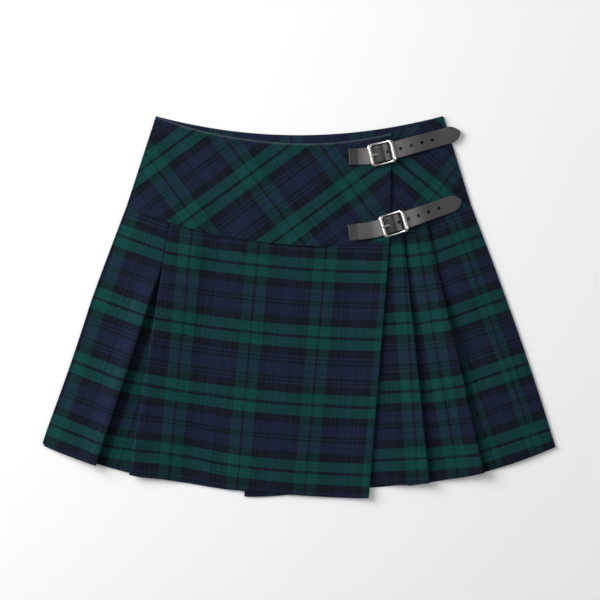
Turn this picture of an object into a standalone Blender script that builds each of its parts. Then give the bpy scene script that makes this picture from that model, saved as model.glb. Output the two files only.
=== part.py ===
"""A tartan wrap skirt of kilt cut, laid flat on its back, with two leather straps and buckles.

Metres, +Z up. The skirt lies on the plane z = 0 with its waist towards +Y. The origin is under
the middle of its outline. Every panel is a wall of cloth that is walked through row by row:
a row is a list of legs across the skirt, and each leg but the last ends in a pressed fold.
"""

import math
from collections import namedtuple

import bmesh
import bpy
from mathutils import Matrix, Vector

MM = 0.001

# Cloth
CLOTH = 1.2 * MM
FACING_CLOTH = 1.0 * MM
LAYER_GAP = 0.35 * MM
SEAM_GAP = 0.3 * MM
PLY = CLOTH + LAYER_GAP

# Outline, as half widths and heights on the plane
WAIST_HALF = 164.5 * MM
SEAM_HALF = 198.0 * MM
HEM_HALF = 295.0 * MM
SIDE_BOW = 2.6 * MM
WAIST_SIDE_Y = 219.0 * MM
SEAM_SIDE_Y = 116.2 * MM
HEM_SIDE_Y = -159.3 * MM
FRONT_WAIST_SAG = 33.0 * MM
BACK_WAIST_SAG = 21.9 * MM
SEAM_SAG = 42.6 * MM
HEM_SAG = 53.5 * MM
HEM_POWER = 2.4
YOKE_LENGTH = 112.0 * MM
SKIRT_LENGTH = 278.0 * MM

# The wrap: the over-apron hangs a little lower towards its free edge
APRON_DROP = 9.5 * MM
APRON_DROP_REACH = 150 * MM
APRON_DROP_POWER = 1.15
APRON_LIFT = 2.2 * MM
APRON_LIFT_REACH = 35 * MM
LIFTED_SHARE = 0.3
HEM_CORNER_DROP = 6.8 * MM
CORNER_SHARE = 0.3
FACE_HEM_RISE = 5.0 * MM
UNDERLAY_HEM_RISE = 2.0 * MM
BACK_HEM_RISE = 2.0 * MM
RISEN_SHARE = 0.5

# Unevenness of the outline once the skirt is laid down
LEFT_TUCK = 1.8 * MM
LEFT_TUCK_TOP = 8 * MM
LEFT_TUCK_LENGTH = 150 * MM
WAIST_SPREAD = 1.3 * MM
APRON_HEM_RISE = 2.9 * MM
APRON_HEM_FROM = (-190 * MM, -152 * MM)
APRON_HEM_TO = (-135 * MM, -72 * MM)
RIGHT_HEM_FALL = 2.0 * MM
RIGHT_HEM_FROM = (165 * MM, 200 * MM)
HEM_ZONE = (-100 * MM, -160 * MM)
EDGE_POWER = 6

# Pleats
PLEAT_DEPTH_TOP = 18 * MM
PLEAT_DEPTH_HEM = 25 * MM
PLEAT_GAP_HEM = 1.0 * MM
PLEAT_RISE = 45 * MM
EDGE_CLIMB = 28 * MM
UNDERLAY_HUMP = 1.4 * MM
UNDERLAY_CREASE = 0.36
FACE_SWELL = 1.4 * MM
STITCHED_SHARE = 1 / 6

# Side seams, a little in front of the side folds
SIDE_INSET_LEFT = 2.2 * MM
SIDE_INSET_WAIST = 4.6 * MM
SIDE_INSET_HEM = 2.4 * MM
SIDE_LEVEL_SEAM = 2.6 * MM
SIDE_LEVEL_HEM = 3.2 * MM

# Facing inside the back waist
FACING_DEPTH = 30 * MM
FACING_EDGE = 1.2 * MM
FACING_SIDE = 3.2 * MM
FACING_SHARE = 0.6

# Rows and steps of the walls
SKIRT_ROWS = 12
YOKE_ROWS = 6
BACK_ROWS = 9
FOLD_STEPS = 4
APRON_STEPS = 22
LEFT_FACE_STEPS = 4
UNDERLAY_STEPS = 8
UNDER_APRON_STEPS = 15
SECOND_FACE_STEPS = 6
THIRD_FACE_STEPS = 7
BACK_STEPS = 14
YOKE_STEPS = 25
UNDER_YOKE_STEPS = 20
FACING_STEPS = 14
FACING_ROWS = 2
SHARP_ANGLE = 40
MERGE = 0.0001 * MM

# Leather, straps and buckles
LEATHER = 1.8 * MM
STRAP_HALF = 9.6 * MM
STRAP_END_BEND = (4 * MM, 34 * MM)
STRAP_TIP = 15 * MM
STRAP_CLIMB = 13.5 * MM
STRAP_CREST = 1 * MM
STRAP_DIP = 12 * MM
STRAP_SETTLE = 10 * MM
REST_SAMPLE = 2 * MM
REST_REACH = 4
TIP_ANGLE = 84
TIP_POWER = 0.85
HOLE_RADIUS = 1.5 * MM
HOLE_CUT = 4 * MM
REST_GAP = 0.3 * MM
BUCKLE_HALF_LENGTH = 12.85 * MM
BUCKLE_HALF_WIDTH = 11.7 * MM
BUCKLE_CORNER = 3.4 * MM
RAIL_RADIUS = 1.4 * MM
END_BAR_RADIUS = 2.45 * MM
NEAR_BAR_Z = 4.4 * MM
FAR_BAR_Z = 7.0 * MM
FRAME_SAG = 2.2 * MM
BAR_RADIUS = 1.2 * MM
PRONG_SHAPE = ((0.3, 1.0 * MM), (0.75, 1.0 * MM), (1, 0.75 * MM))
BAR_Z = 2.95 * MM
HOOK_RADIUS = 0.7 * MM
HOOK_PATH = BAR_RADIUS + 0.35 * MM + HOOK_RADIUS
PRONG_TIP_Z = 7.1 * MM
PRONG_OVERHANG = 0.8 * MM
PRONG_CLEARANCE = 0.35 * MM
HOOK_START = -150
HOOK_END = 84
HOOK_STEPS = 8
TAB_HALF = 8.9 * MM
TAB_SHIFT = 1.5 * MM
TAB_SHIFT_END = 16 * MM
TAB_LEATHER = 1.0 * MM
TAB_BORE = BAR_RADIUS + REST_GAP
TAB_WRAP_START = 60
TAB_WRAP_END = 270
TAB_FOOT = 5 * MM
TAB_SPOTS = 8
TAB_TAIL = 2 * TAB_LEATHER
SLOT_HALF = 2.2 * MM
SLOT_LOW = (-5 * MM, -SLOT_HALF, -3 * MM)
SLOT_HIGH = (3.7 * MM, SLOT_HALF, 8 * MM)
TIP_DROOP = 0.1
STRAP_HUMP = BAR_Z + HOOK_PATH + HOOK_RADIUS + REST_GAP
PROBE = 0.05 * MM

Level = namedtuple("Level", "top hem")
FoldLine = namedtuple("FoldLine", "seam_x hem_x")
Leg = namedtuple("Leg", "level edge bulge steps")
Strap = namedtuple(
    "Strap",
    "name bar_x bar_y left_turn turn end_turn frame_turn bend left_length length holes tab_length",
)

FOLD_LINES = {
    "left_pleat": FoldLine(-148.7 * MM, -195.0 * MM),
    "apron_edge": FoldLine(104.1 * MM, 80.0 * MM),
    "under_edge": FoldLine(-50.0 * MM, -63.0 * MM),
    "pleat_a": FoldLine(119.7 * MM, 150.3 * MM),
    "pleat_b": FoldLine(147.3 * MM, 212.6 * MM),
}
LEFT_PLEAT_SPREAD = 37.4 * MM
YOKE_EDGE_WAIST_X = 106.2 * MM

STRAPS = (
    Strap(
        name="upper",
        bar_x=95.0 * MM,
        bar_y=175.7 * MM,
        left_turn=2.0,
        turn=13.8,
        end_turn=15.6,
        frame_turn=12.4,
        bend=(-22 * MM, -4 * MM),
        left_length=38.1 * MM,
        length=131.7 * MM,
        holes=(7.1 * MM, 22.2 * MM, 34.9 * MM, 47.6 * MM, 60.0 * MM),
        tab_length=45 * MM,
    ),
    Strap(
        name="lower",
        bar_x=108.3 * MM,
        bar_y=94.8 * MM,
        left_turn=7.0,
        turn=17.0,
        end_turn=19.8,
        frame_turn=16.6,
        bend=(-36 * MM, -11 * MM),
        left_length=52.3 * MM,
        length=135.2 * MM,
        holes=(6.7 * MM, 18.3 * MM, 30.2 * MM, 42.8 * MM, 55.5 * MM),
        tab_length=32 * MM,
    ),
)

BASE_LEVEL = CLOTH + LAYER_GAP + CLOTH / 2
WAIST_LEVEL = CLOTH + REST_GAP + FACING_CLOTH + LAYER_GAP + CLOTH / 2

FINISHES = {
    "tartan": ((0.02, 0.05, 0.06, 1), 0.9, 0.0),
    "leather": ((0.02, 0.02, 0.02, 1), 0.45, 0.0),
    "nickel": ((0.72, 0.71, 0.68, 1), 0.22, 1.0),
}


def lerp(a, b, share):
    return a + (b - a) * share


def ramp(x, start, end):
    """0 before start, 1 after end, and smooth between them."""
    share = min(1.0, max(0.0, (x - start) / (end - start)))
    return share * share * (3 - 2 * share)


# The outline


def half_width(t):
    """Half width of the skirt part, at share t of the way from the yoke seam to the hem."""
    return lerp(SEAM_HALF, HEM_HALF, t) + SIDE_BOW * math.sin(math.pi * t)


def yoke_half_width(v):
    """Half width of the yoke, at share v of the way from its seam to the waist."""
    return lerp(SEAM_HALF, WAIST_HALF, v)


def seam_y(c):
    """Height of the yoke seam, at share c of its half width from the middle."""
    return SEAM_SIDE_Y - SEAM_SAG * (1 - c * c)


def hem_y(c):
    return HEM_SIDE_Y - HEM_SAG * (1 - abs(c) ** HEM_POWER)


def front_waist_y(c):
    return WAIST_SIDE_Y - FRONT_WAIST_SAG * (1 - c * c)


def back_waist_y(c):
    return WAIST_SIDE_Y - BACK_WAIST_SAG * (1 - c * c)


def line_x(name, t):
    """Where a fold or a free edge crosses the skirt at share t."""
    line = FOLD_LINES[name]
    return lerp(line.seam_x, line.hem_x, t)


def yoke_edge_x(v):
    return lerp(FOLD_LINES["apron_edge"].seam_x, YOKE_EDGE_WAIST_X, v)


def apron_drop(x, edge_x):
    """How far the over-apron and its yoke hang below the other panels at x."""
    near = max(0.0, 1 - (edge_x - x) / APRON_DROP_REACH)
    return APRON_DROP * near**APRON_DROP_POWER


def settled(x, y):
    """Where a point of the drawn outline lies on the real, slightly uneven one."""
    t = (SEAM_SIDE_Y - y) / (SEAM_SIDE_Y - HEM_SIDE_Y)
    half = half_width(t) if t > 0 else yoke_half_width((y - SEAM_SIDE_Y) / YOKE_LENGTH)
    near_edge = min(1.0, abs(x) / half) ** EDGE_POWER
    hem = ramp(-y, -HEM_ZONE[0], -HEM_ZONE[1])
    rise = APRON_HEM_RISE * ramp(x, *APRON_HEM_FROM) * (1 - ramp(x, *APRON_HEM_TO))
    fall = RIGHT_HEM_FALL * ramp(x, *RIGHT_HEM_FROM)
    if x < 0:
        share = min(1.0, max(0.0, (LEFT_TUCK_TOP - y) / LEFT_TUCK_LENGTH))
        x += LEFT_TUCK * math.sin(math.pi * share) * near_edge
    else:
        x += WAIST_SPREAD * near_edge * ramp(y, SEAM_SIDE_Y, WAIST_SIDE_Y)
    return x, y + (rise - fall) * hem


def right_inset(t):
    return lerp(SIDE_INSET_WAIST, SIDE_INSET_HEM, t)


# Heights of the cloth's middle above the plane


def side_level(t):
    return lerp(SIDE_LEVEL_SEAM, SIDE_LEVEL_HEM, t)


def yoke_side_level(v):
    return lerp(SIDE_LEVEL_SEAM, WAIST_LEVEL, ramp(v, 0, FACING_SHARE))


def pitch(t):
    """Height from one layer of a pleat to the next: the pleats open towards the hem."""
    return CLOTH + lerp(LAYER_GAP, PLEAT_GAP_HEM, ramp(t, STITCHED_SHARE, 1))


def pleat_depth(t):
    return lerp(PLEAT_DEPTH_TOP, PLEAT_DEPTH_HEM, t)


def pleat_top(t):
    return BASE_LEVEL + 2 * pitch(t)


def left_fold_x(t):
    """Left edge of the inverted pleat, which opens below its stitched part."""
    share = max(0.0, (t - STITCHED_SHARE) / (1 - STITCHED_SHARE))
    return line_x("left_pleat", t) - SEAM_GAP / 2 - LEFT_PLEAT_SPREAD * share


def right_fold_x(t):
    return line_x("left_pleat", t) + SEAM_GAP / 2


def left_face_level(x, t):
    side = -(half_width(t) - SIDE_INSET_LEFT)
    inner = left_fold_x(t) - pleat_depth(t)
    return lerp(side_level(t), pleat_top(t), ramp(x, side, inner))


def underlay_level(x, t):
    """The pleat's underlay lies on the back, with a valley crease where it shows."""
    left, right = left_fold_x(t), right_fold_x(t)
    share = (x - left) / (right - left)
    if not 0 < share < 1:
        return BASE_LEVEL
    if share < UNDERLAY_CREASE:
        hump = math.sin(math.pi * share / UNDERLAY_CREASE)
    else:
        hump = math.sin(math.pi * (share - UNDERLAY_CREASE) / (1 - UNDERLAY_CREASE))
    return BASE_LEVEL + UNDERLAY_HUMP * hump * ramp(t, STITCHED_SHARE, 1)


def first_face_level(x, t):
    """The under-apron, which climbs onto the folds of the first knife pleat."""
    inner = line_x("pleat_a", t) - pleat_depth(t)
    return BASE_LEVEL + 2 * pitch(t) * ramp(x, inner - PLEAT_RISE, inner)


def second_face_level(x, t):
    start = line_x("pleat_a", t) + CLOTH
    inner = line_x("pleat_b", t) - pleat_depth(t)
    return BASE_LEVEL + 2 * pitch(t) * ramp(x, start, inner)


def third_face_level(x, t):
    start = line_x("pleat_b", t)
    side = half_width(t) - right_inset(t)
    share = min(1.0, max(0.0, (x - start) / (side - start)))
    swell = FACE_SWELL * math.sin(math.pi * share) ** 2
    return lerp(BASE_LEVEL, side_level(t), ramp(x, start, side)) + swell


def under_seam_level(x):
    fold_b = line_x("pleat_b", 0)
    return lerp(first_face_level(x, 0), side_level(0), ramp(x, fold_b, fold_b + PLEAT_RISE))


def under_yoke_level(x, v):
    seam = under_seam_level(x * SEAM_HALF / yoke_half_width(v))
    return lerp(seam, WAIST_LEVEL, ramp(v, 0, FACING_SHARE))


def on_under_apron(x, edge_x):
    """One ply more where the over-apron lies on the under-apron's edge."""
    return PLY * ramp(x, edge_x - EDGE_CLIMB, edge_x - EDGE_CLIMB / 2)


def apron_level(x, t):
    """The over-apron: over the inverted pleat, down to the back, then over the under-apron."""
    inner = right_fold_x(t) + pleat_depth(t)
    pleat = 2 * pitch(t) * (1 - ramp(x, inner + CLOTH, inner + PLEAT_RISE))
    under = first_face_level(x, t) - BASE_LEVEL
    edge = line_x("apron_edge", t)
    lift = APRON_LIFT * ramp(x, edge - APRON_LIFT_REACH, edge) * ramp(t, 0, LIFTED_SHARE)
    return BASE_LEVEL + pleat + on_under_apron(x, line_x("under_edge", t)) + under + lift


def front_yoke_level(x, v):
    """The front yoke, from the skirt's own level at the seam to the facing's at the waist."""
    if v < 0:
        return apron_level(x, -v * YOKE_LENGTH / SKIRT_LENGTH)
    seam_x = x * SEAM_HALF / yoke_half_width(v)
    if seam_x < left_fold_x(0):
        seam = left_face_level(seam_x, 0)
    else:
        seam = apron_level(seam_x, 0)
    waist = WAIST_LEVEL + on_under_apron(seam_x, line_x("under_edge", 0))
    return lerp(seam, waist, ramp(v, 0, FACING_SHARE))


# Walls of cloth


def walk(start, legs):
    """Walks a row from x = start through its legs, with a half turn at each fold.

    Gives (x, z, normal x, normal z, leg) for each step. The normal is on the walker's left,
    which is the cloth's face side. A leg's edge is the outermost point of its fold, and its
    bulge is 1 where that fold points to +X, -1 to -X and 0 at a free edge.
    """
    steps = []
    x = start
    for number, leg in enumerate(legs):
        stop = leg.edge
        if leg.bulge:
            z_from = leg.level(leg.edge)
            z_to = legs[number + 1].level(leg.edge)
            radius = abs(z_to - z_from) / 2
            stop = leg.edge - leg.bulge * (CLOTH / 2 + radius)
        way = 1 if stop > x else -1
        for i in range(leg.steps + 1):
            at = lerp(x, stop, i / leg.steps)
            slope = (leg.level(at + PROBE) - leg.level(at - PROBE)) / (2 * PROBE)
            length = math.hypot(1, slope)
            steps.append((at, leg.level(at), -slope * way / length, way / length, number))
        if leg.bulge:
            down = z_to < z_from
            outward = 1 if down == (leg.bulge > 0) else -1
            for i in range(1, FOLD_STEPS):
                rise = math.cos(math.pi * i / FOLD_STEPS) * (1 if down else -1)
                out = math.sin(math.pi * i / FOLD_STEPS) * leg.bulge
                point = (stop + radius * out, (z_from + z_to) / 2 + radius * rise)
                steps.append((*point, out * outward, rise * outward, number))
        x = stop
    return steps


def mesh_object(name, points, faces, finish):
    mesh = bpy.data.meshes.new(name)
    mesh.from_pydata(points, [], faces)
    shell = bmesh.new()
    shell.from_mesh(mesh)
    bmesh.ops.remove_doubles(shell, verts=shell.verts, dist=MERGE)
    bmesh.ops.recalc_face_normals(shell, faces=shell.faces)
    if shell.calc_volume(signed=True) < 0:
        bmesh.ops.reverse_faces(shell, faces=shell.faces)
    shell.to_mesh(mesh)
    shell.free()
    mesh.shade_smooth()
    mesh.set_sharp_from_angle(angle=math.radians(SHARP_ANGLE))
    mesh.materials.append(finish_material(finish))
    obj = bpy.data.objects.new(name, mesh)
    bpy.context.scene.collection.objects.link(obj)
    return obj


def finish_material(name):
    material = bpy.data.materials.get(name)
    if material is None:
        colour, roughness, metallic = FINISHES[name]
        material = bpy.data.materials.new(name)
        material.use_nodes = True
        shader = material.node_tree.nodes["Principled BSDF"]
        shader.inputs["Base Color"].default_value = colour
        shader.inputs["Roughness"].default_value = roughness
        shader.inputs["Metallic"].default_value = metallic
    return material


def closed_grid(name, outer, inner, finish):
    """A closed wall between two grids of points with the same rows and columns."""
    rows, columns = len(outer), len(outer[0])
    points = [p for row in outer for p in row] + [p for row in inner for p in row]
    back = rows * columns
    faces = []
    for i in range(rows - 1):
        for j in range(columns - 1):
            a, b = i * columns + j, (i + 1) * columns + j
            faces.append((a, b, b + 1, a + 1))
            faces.append((back + a, back + a + 1, back + b + 1, back + b))
    for j in range(columns - 1):
        for a in (j, (rows - 1) * columns + j):
            faces.append((a, a + 1, back + a + 1, back + a))
    for i in range(rows - 1):
        for a in (i * columns, (i + 1) * columns - 1):
            faces.append((a, a + columns, back + a + columns, back + a))
    return mesh_object(name, points, faces, finish)


def cloth_wall(name, shares, legs_at, place):
    """A panel: legs_at(share) gives a row's start and legs, place(x, share, leg) its y."""
    outer, inner = [], []
    for share in shares:
        start, legs = legs_at(share)
        face, wrong = [], []
        for x, z, nx, nz, leg in walk(start, legs):
            y = place(x, share, leg)
            shift_x, shift_z = nx * CLOTH / 2, nz * CLOTH / 2
            face.append((*settled(x + shift_x, y), z + shift_z))
            wrong.append((*settled(x - shift_x, y), z - shift_z))
        outer.append(face)
        inner.append(wrong)
    return closed_grid(name, outer, inner, "tartan")


def shares(rows):
    return [i / rows for i in range(rows + 1)]


def skirt_y(x, t, drop):
    c = x / half_width(t)
    return lerp(seam_y(c) - SEAM_GAP / 2, hem_y(c), t) - drop


# Skirt panels


def front_apron():
    """The left side, the inverted pleat and the over-apron, in one cut."""

    def legs_at(t):
        start = -(half_width(t) - SIDE_INSET_LEFT) + SEAM_GAP / 2
        left, right, depth = left_fold_x(t), right_fold_x(t), pleat_depth(t)
        edge = line_x("apron_edge", t)
        middle = lambda x: BASE_LEVEL + pitch(t)
        return start, [
            Leg(lambda x: left_face_level(x, t), left, 1, LEFT_FACE_STEPS),
            Leg(middle, left - depth, -1, 1),
            Leg(lambda x: underlay_level(x, t), right + depth, 1, UNDERLAY_STEPS),
            Leg(middle, right, -1, 1),
            Leg(lambda x: over_apron_level(x, t), edge, 0, APRON_STEPS),
        ]

    def over_apron_level(x, t):
        drop = apron_drop(x, line_x("apron_edge", t))
        return apron_level(x, min(1.0, t + drop / SKIRT_LENGTH))

    def place(x, t, leg):
        drop = 0
        if leg == 2:
            drop = -UNDERLAY_HEM_RISE * ramp(t, RISEN_SHARE, 1)
        if leg == 4:
            drop = apron_drop(x, line_x("apron_edge", t))
        return skirt_y(x, t, drop)

    cloth_wall("front_apron", shares(SKIRT_ROWS), legs_at, place)


def pleated_front():
    """The under-apron and the right side, with two knife pleats, in one cut."""

    def legs_at(t):
        fold_a, fold_b = line_x("pleat_a", t), line_x("pleat_b", t)
        side = half_width(t) - right_inset(t) - SEAM_GAP / 2
        middle = lambda x: BASE_LEVEL + pitch(t)
        start = line_x("under_edge", t)
        return start, [
            Leg(lambda x: first_face_level(x, t), fold_a, 1, UNDER_APRON_STEPS),
            Leg(middle, fold_a - pleat_depth(t), -1, 1),
            Leg(lambda x: second_face_level(x, t), fold_b, 1, SECOND_FACE_STEPS),
            Leg(middle, fold_b - pleat_depth(t), -1, 1),
            Leg(lambda x: third_face_level(x, t), side, 0, THIRD_FACE_STEPS),
        ]

    def place(x, t, leg):
        drop = 0
        if leg == 0:
            corner, edge = line_x("under_edge", t), line_x("apron_edge", t)
            drop = lerp(HEM_CORNER_DROP, -FACE_HEM_RISE, ramp(x, corner, edge))
            drop *= 1 - ramp(x, edge, line_x("pleat_a", t) - 2 * CLOTH)
            drop *= ramp(t, CORNER_SHARE, 1)
        return skirt_y(x, t, drop)

    cloth_wall("pleated_front", shares(SKIRT_ROWS), legs_at, place)


def back_legs(half, right_side, left_side, level):
    """A row of the back: it lies on the plane and turns over both side folds to the front."""
    top, floor = lambda x: level, lambda x: CLOTH / 2
    return right_side + SEAM_GAP / 2, [
        Leg(top, half, 1, 1),
        Leg(floor, -half, -1, BACK_STEPS),
        Leg(top, -left_side - SEAM_GAP / 2, 0, 1),
    ]


def back_panel():
    def legs_at(t):
        half = half_width(t)
        return back_legs(half, half - right_inset(t), half - SIDE_INSET_LEFT, side_level(t))

    def place(x, t, leg):
        return skirt_y(x, t, -BACK_HEM_RISE * ramp(t, RISEN_SHARE, 1) if leg == 1 else 0)

    cloth_wall("back_panel", shares(BACK_ROWS), legs_at, place)


# Yoke


def yoke_y(x, v, waist_y, drop):
    c = x / yoke_half_width(v)
    return lerp(seam_y(c) + SEAM_GAP / 2, waist_y(c), v) - drop


def front_yoke():
    def legs_at(v):
        start = -(yoke_half_width(v) - SIDE_INSET_LEFT) + SEAM_GAP / 2
        edge = yoke_edge_x(v)

        def level(x):
            return front_yoke_level(x, v - apron_drop(x, edge) / YOKE_LENGTH)

        return start, [Leg(level, edge, 0, YOKE_STEPS)]

    def place(x, v, leg):
        return yoke_y(x, v, front_waist_y, apron_drop(x, yoke_edge_x(v)))

    cloth_wall("front_yoke", shares(YOKE_ROWS), legs_at, place)


def under_yoke():
    def legs_at(v):
        start = FOLD_LINES["under_edge"].seam_x * yoke_half_width(v) / SEAM_HALF
        side = yoke_half_width(v) - SIDE_INSET_WAIST - SEAM_GAP / 2
        return start, [Leg(lambda x: under_yoke_level(x, v), side, 0, UNDER_YOKE_STEPS)]

    def place(x, v, leg):
        return yoke_y(x, v, front_waist_y, 0)

    cloth_wall("under_yoke", shares(YOKE_ROWS), legs_at, place)


def back_yoke():
    def legs_at(v):
        half = yoke_half_width(v)
        return back_legs(
            half, half - SIDE_INSET_WAIST, half - SIDE_INSET_LEFT, yoke_side_level(v)
        )

    cloth_wall(
        "back_yoke",
        shares(YOKE_ROWS),
        legs_at,
        lambda x, v, leg: yoke_y(x, v, back_waist_y, 0),
    )


def back_facing():
    """The strip inside the back waist, which shows above the lower front waist."""
    columns, rows = FACING_STEPS, FACING_ROWS
    middle = CLOTH + REST_GAP + FACING_CLOTH / 2
    outer, inner = [], []
    for i in range(rows + 1):
        down = FACING_EDGE + (FACING_DEPTH - FACING_EDGE) * i / rows
        face, wrong = [], []
        for j in range(columns + 1):
            c = 2 * j / columns - 1
            half = yoke_half_width(1 - down / YOKE_LENGTH) - FACING_SIDE
            x, y = c * half, back_waist_y(c) - down
            face.append((x, y, middle + FACING_CLOTH / 2))
            wrong.append((x, y, middle - FACING_CLOTH / 2))
        outer.append(face)
        inner.append(wrong)
    closed_grid("back_facing", outer, inner, "tartan")


# Straps and buckles


def yoke_share(x, y, drop):
    """Share v of the way up the front yoke at the point (x, y)."""
    v = 0.5
    for _ in range(8):
        c = x / yoke_half_width(v)
        v = (y + drop - seam_y(c)) / (front_waist_y(c) - seam_y(c))
        v = min(1.0, max(-0.3, v))
    return v


def cloth_top(x, y):
    """Height of the topmost cloth under the point (x, y) of a strap."""
    v = yoke_share(x, y, 0)
    side = yoke_half_width(v) - SIDE_INSET_WAIST
    if v < 0 and x > line_x("pleat_b", 0):
        middle = third_face_level(x, -v * YOKE_LENGTH / SKIRT_LENGTH)
    elif x < side:
        middle = under_yoke_level(x, max(0.0, v))
    else:
        middle = yoke_side_level(max(0.0, v)) - TIP_DROOP * (x - side)
    edge = yoke_edge_x(v)
    if x < edge + CLOTH:
        drop = apron_drop(x, edge)
        middle = front_yoke_level(x, yoke_share(x, y, drop) - drop / YOKE_LENGTH)
    return middle + CLOTH / 2


def strap_turn(strap, along):
    """Heading of the strap, in radians, at a distance along it from the buckle's bar."""
    turn = lerp(strap.left_turn, strap.turn, ramp(along, *strap.bend))
    turn += (strap.end_turn - strap.turn) * ramp(along, *STRAP_END_BEND)
    return math.radians(turn)


def strap_point(strap, along):
    """Point of the strap's middle line on the plane."""
    parts = max(1, round(abs(along) / MM))
    x, y = strap.bar_x, strap.bar_y
    for i in range(parts):
        turn = strap_turn(strap, along * (i + 0.5) / parts)
        x += math.cos(turn) * along / parts
        y += math.sin(turn) * along / parts
    return x, y


def strap_place(strap, along, across):
    x, y = strap_point(strap, along)
    turn = strap_turn(strap, along)
    return x - across * math.sin(turn), y + across * math.cos(turn)


def resting_heights(strap):
    """The height that the strap rests at along its length, above cloth of any shape."""
    step = REST_SAMPLE
    count = round(strap.length / step)
    start = -strap.left_length
    widths = [(STRAP_HALF + MM) * share for share in (-1, -0.5, 0, 0.5, 1)]
    tops = [
        max(cloth_top(*strap_place(strap, start + i * step, w)) for w in widths)
        for i in range(count + 1)
    ]
    reach = REST_REACH
    highest = [max(tops[max(0, i - reach) : i + reach + 1]) for i in range(count + 1)]
    eased = []
    for i in range(count + 1):
        near = highest[max(0, i - reach + 1) : i + reach]
        eased.append(sum(near) / len(near) + REST_GAP)

    def height(along):
        place = min(count - 1e-6, max(0.0, (along - start) / step))
        return lerp(eased[int(place)], eased[int(place) + 1], place - int(place))

    return height


def strap_rise(strap, along):
    """Height of the strap's underside over its rest, up over the bar and down over the tab."""
    tab_top = TAB_TAIL + 2 * REST_GAP
    over_bar = STRAP_HUMP * ramp(along, -STRAP_CLIMB, -STRAP_CREST)
    down = (STRAP_HUMP - tab_top) * ramp(along, STRAP_CREST, STRAP_DIP)
    off_tab = tab_top * ramp(along, strap.tab_length, strap.tab_length + STRAP_SETTLE)
    return over_bar - down - off_tab


def strap_middle(strap, height, along):
    return height(along) + strap_rise(strap, along) + LEATHER / 2


def strap_stations(strap):
    """(distance along, half width) from the square end to the tip."""
    right = strap.length - strap.left_length
    near, settled = STRAP_CLIMB + MM, strap.tab_length + STRAP_SETTLE + MM
    bends = [(-strap.left_length, -near, 3), (-near, near, 14)]
    bends += [(near, settled, 5), (settled, right - STRAP_TIP, 4)]
    stations = []
    for start, end, count in bends:
        stations += [(lerp(start, end, i / count), STRAP_HALF) for i in range(count)]
    tip_steps = 7
    for i in range(tip_steps):
        angle = math.radians(TIP_ANGLE) * i / (tip_steps - 1)
        along = right - STRAP_TIP + STRAP_TIP * math.sin(angle)
        stations.append((along, STRAP_HALF * math.cos(angle) ** TIP_POWER))
    return stations


def strap_body(strap, height):
    outer, inner = [], []
    for along, half in strap_stations(strap):
        ahead = strap_middle(strap, height, along + PROBE)
        slope = (ahead - strap_middle(strap, height, along - PROBE)) / (2 * PROBE)
        length = math.hypot(1, slope)
        middle = strap_middle(strap, height, along)
        back = -slope / length * LEATHER / 2
        up = LEATHER / 2 / length
        face, wrong = [], []
        for share in (1, 0.34, -0.34, -1):
            x, y = strap_place(strap, along + back, half * share)
            face.append((x, y, middle + up))
            x, y = strap_place(strap, along - back, half * share)
            wrong.append((x, y, middle - up))
        outer.append(face)
        inner.append(wrong)
    return closed_grid(f"strap_{strap.name}", outer, inner, "leather")


def cutter(name, parts):
    """One hidden mesh of closed pieces, each given as (points, faces)."""
    points, faces = [], []
    for piece_points, piece_faces in parts:
        faces += [tuple(len(points) + k for k in face) for face in piece_faces]
        points += piece_points
    obj = mesh_object(name, points, faces, "leather")
    obj.hide_render = True
    obj.display_type = "WIRE"
    return obj


def boolean(obj, other, operation):
    modifier = obj.modifiers.new(operation.lower(), "BOOLEAN")
    modifier.operation = operation
    modifier.object = other
    modifier.solver = "EXACT"


def tube(centres, radii, sides, sideways, closed=False):
    """(points, faces) of a rod along centres. radii holds (across, upward) for each point."""
    points, faces = [], []
    count = len(centres)
    for i, (centre, (wide, high)) in enumerate(zip(centres, radii)):
        before = centres[i - 1] if closed or i else centre
        after = centres[(i + 1) % count] if closed or i < count - 1 else centre
        along = (after - before).normalized()
        across = sideways[i] if sideways else Vector((0, 1, 0))
        upward = along.cross(across).normalized()
        for k in range(sides):
            angle = 2 * math.pi * k / sides
            offset = across * wide * math.cos(angle) + upward * high * math.sin(angle)
            points.append(centre + offset)
    for i in range(count if closed else count - 1):
        for k in range(sides):
            a, b = i * sides + k, i * sides + (k + 1) % sides
            c, d = (a + sides) % len(points), (b + sides) % len(points)
            faces.append((a, b, d, c))
    if not closed:
        faces.append(tuple(range(sides)))
        faces.append(tuple(range((count - 1) * sides, count * sides)))
    return points, faces


def buckle_matrix(strap, height):
    """From the buckle's own axes, along the strap, across it and up, to the skirt's."""
    reach = BUCKLE_HALF_LENGTH + END_BAR_RADIUS
    base = max(height(-reach * i / 8) for i in range(9))
    turn = Matrix.Rotation(math.radians(strap.frame_turn), 4, "Z")
    return Matrix.Translation((strap.bar_x, strap.bar_y, base)) @ turn


def moved(parts, matrix):
    points, faces = parts
    return [matrix @ point for point in points], faces


def frame_height(along):
    share = along / BUCKLE_HALF_LENGTH
    straight = lerp(NEAR_BAR_Z, FAR_BAR_Z, (share + 1) / 2)
    return straight - FRAME_SAG * (1 - share * share)


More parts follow.
